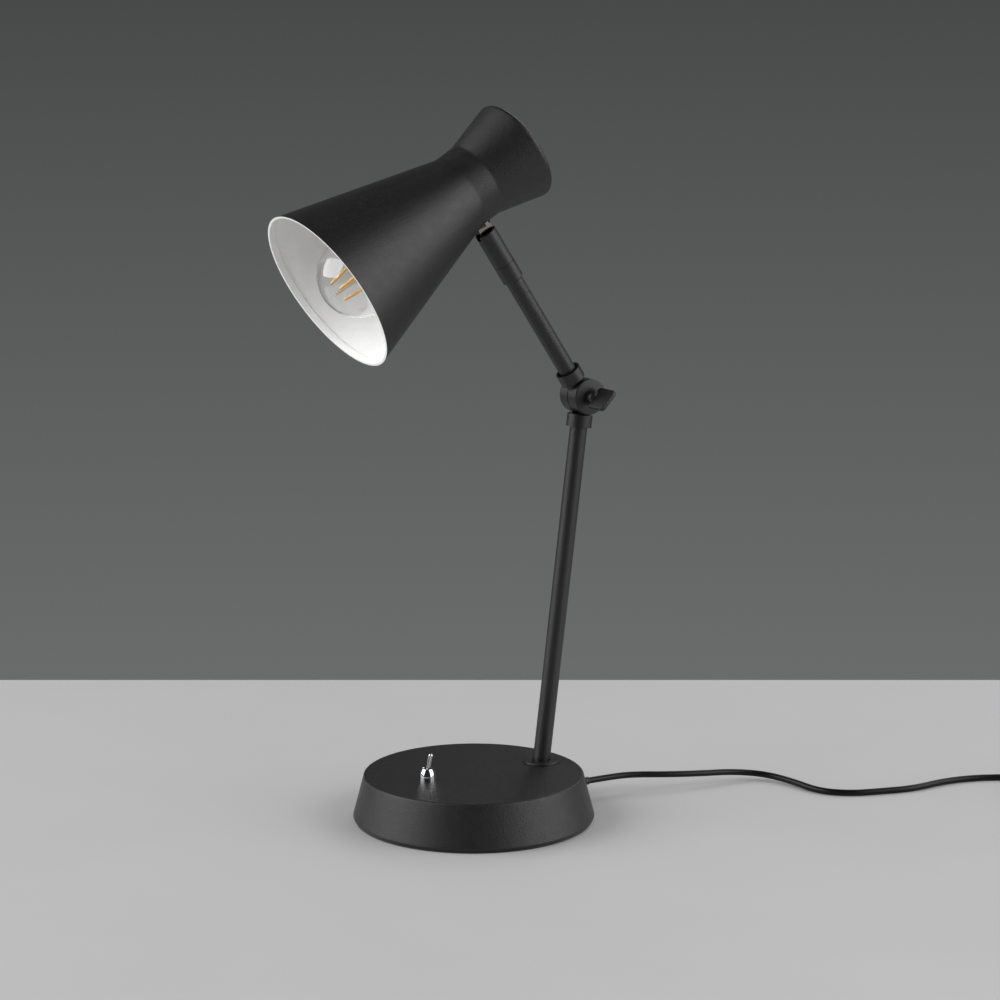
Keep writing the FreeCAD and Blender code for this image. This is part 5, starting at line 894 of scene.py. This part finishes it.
NICKEL_BRUSH = 0.5       # mm
nickel_plate, tree, place = begin("nickel_plated_brass")
brush = add(tree, "TexNoise", {"Vector": place, "Scale": 1 / (NICKEL_BRUSH * MM), "Detail": 2.0})
gloss = add(tree, "MapRange", {"Value": brush.outputs["Fac"], "From Min": 0.3, "From Max": 0.7,
                               "To Min": 0.16, "To Max": 0.26})
skin = add(tree, "BsdfPrincipled", {"Base Color": linear("#cfccc4"), "Metallic": 1.0,
                                    "Roughness": gloss.outputs["Result"]})
add(tree, "OutputMaterial", {"Surface": skin.outputs["BSDF"]})
dress(nickel_plate, "bulb_cap", "bulb_contact", "bulb_wires")

GLASS_CLOUD = 2.0        # mm
black_glass, tree, place = begin("cap_insulator_glass")
cloud = add(tree, "TexNoise", {"Vector": place, "Scale": 1 / (GLASS_CLOUD * MM), "Detail": 2.0})
tone = add(tree, "Mix", {"Factor": cloud.outputs["Fac"], "A": linear("#0a0a0c"),
                         "B": linear("#141418")}, data_type="RGBA")
skin = add(tree, "BsdfPrincipled", {"Base Color": tone.outputs[2], "Roughness": 0.08, "IOR": 1.52})
add(tree, "OutputMaterial", {"Surface": skin.outputs["BSDF"]})
dress(black_glass, "bulb_insulator")

# Filaments: four rods of tiny light chips in silicone that is full of yellow
# phosphor. They spread a little towards the cap and have rounded ends.
FILAMENT_COUNT = 4
FILAMENT_RADIUS = 1.05
FILAMENT_LENGTH = 31.0
FILAMENT_FRONT = 7.0
FILAMENT_FRONT_RADIUS = 7.2
FILAMENT_SPREAD = 7.0
FILAMENT_TURN = 63.6
CHIP_PITCH = 1.1         # mm between the chips, seen as faint beads in the coat
phosphor, tree, place = begin("phosphor_silicone")
beads = add(tree, "TexNoise", {"Vector": place, "Scale": 1 / (CHIP_PITCH * MM), "Detail": 1.0})
tone = add(tree, "Mix", {"Factor": beads.outputs["Fac"], "A": linear("#fdbb55"),
                         "B": linear("#ffd88c")}, data_type="RGBA")
skin = add(tree, "BsdfPrincipled", {"Base Color": tone.outputs[2], "Roughness": 0.45, "IOR": 1.41,
                                    "Subsurface Weight": 0.2, "Subsurface Scale": 0.5 * MM})
add(tree, "OutputMaterial", {"Surface": skin.outputs["BSDF"]})

cap_turn = np.linspace(0, math.pi / 2, 8)
cap_height = FILAMENT_RADIUS * (1 - np.cos(cap_turn))
cap_radius = FILAMENT_RADIUS * np.sin(cap_turn)
filament_outline = np.vstack([np.stack([cap_radius, cap_height], axis=1),
                              np.stack([cap_radius, FILAMENT_LENGTH - cap_height], axis=1)[::-1]])
rod_grid = spun(filament_outline, 24)
spread = math.radians(FILAMENT_SPREAD)
filament_grids = []
for index in range(FILAMENT_COUNT):
    turn = math.radians(FILAMENT_TURN + 360 / FILAMENT_COUNT * index)
    outward = np.array([math.cos(turn), math.sin(turn), 0])
    run = outward * math.sin(spread) + np.array([0, 0, math.cos(spread)])
    beside = np.array([-math.sin(turn), math.cos(turn), 0])
    axes = np.stack([beside, np.cross(run, beside), run])
    front_end = outward * FILAMENT_FRONT_RADIUS + np.array([0, 0, FILAMENT_FRONT])
    filament_grids.append(rod_grid @ axes + front_end)
filaments = piece("filament_rods", filament_grids, [phosphor], lean=SHADE_LEAN, at=bulb_place)
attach(filaments, "head")
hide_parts("bulb_filaments")

# Plug and tie: the flat two-pin plug is moulded on the cord in soft black PVC, with a
# fine matt grain, and a strap of the same holds the coil.
PLUG_GRAIN = 0.6         # mm
soft_pvc, tree, place = begin("moulded_pvc")
grain = add(tree, "TexNoise", {"Vector": place, "Scale": 1 / (PLUG_GRAIN * MM), "Detail": 2.0})
relief = add(tree, "Bump", {"Height": grain.outputs["Fac"], "Distance": 0.04 * MM})
tone = add(tree, "Mix", {"Factor": grain.outputs["Fac"], "A": linear("#111112"),
                         "B": linear("#19191a")}, data_type="RGBA")
skin = add(tree, "BsdfPrincipled", {"Base Color": tone.outputs[2], "Roughness": 0.5, "IOR": 1.53,
                                    "Normal": relief.outputs["Normal"]})
add(tree, "OutputMaterial", {"Surface": skin.outputs["BSDF"]})
dress(soft_pvc, "plug_body", "coil_tie")

bpy.context.view_layer.update()
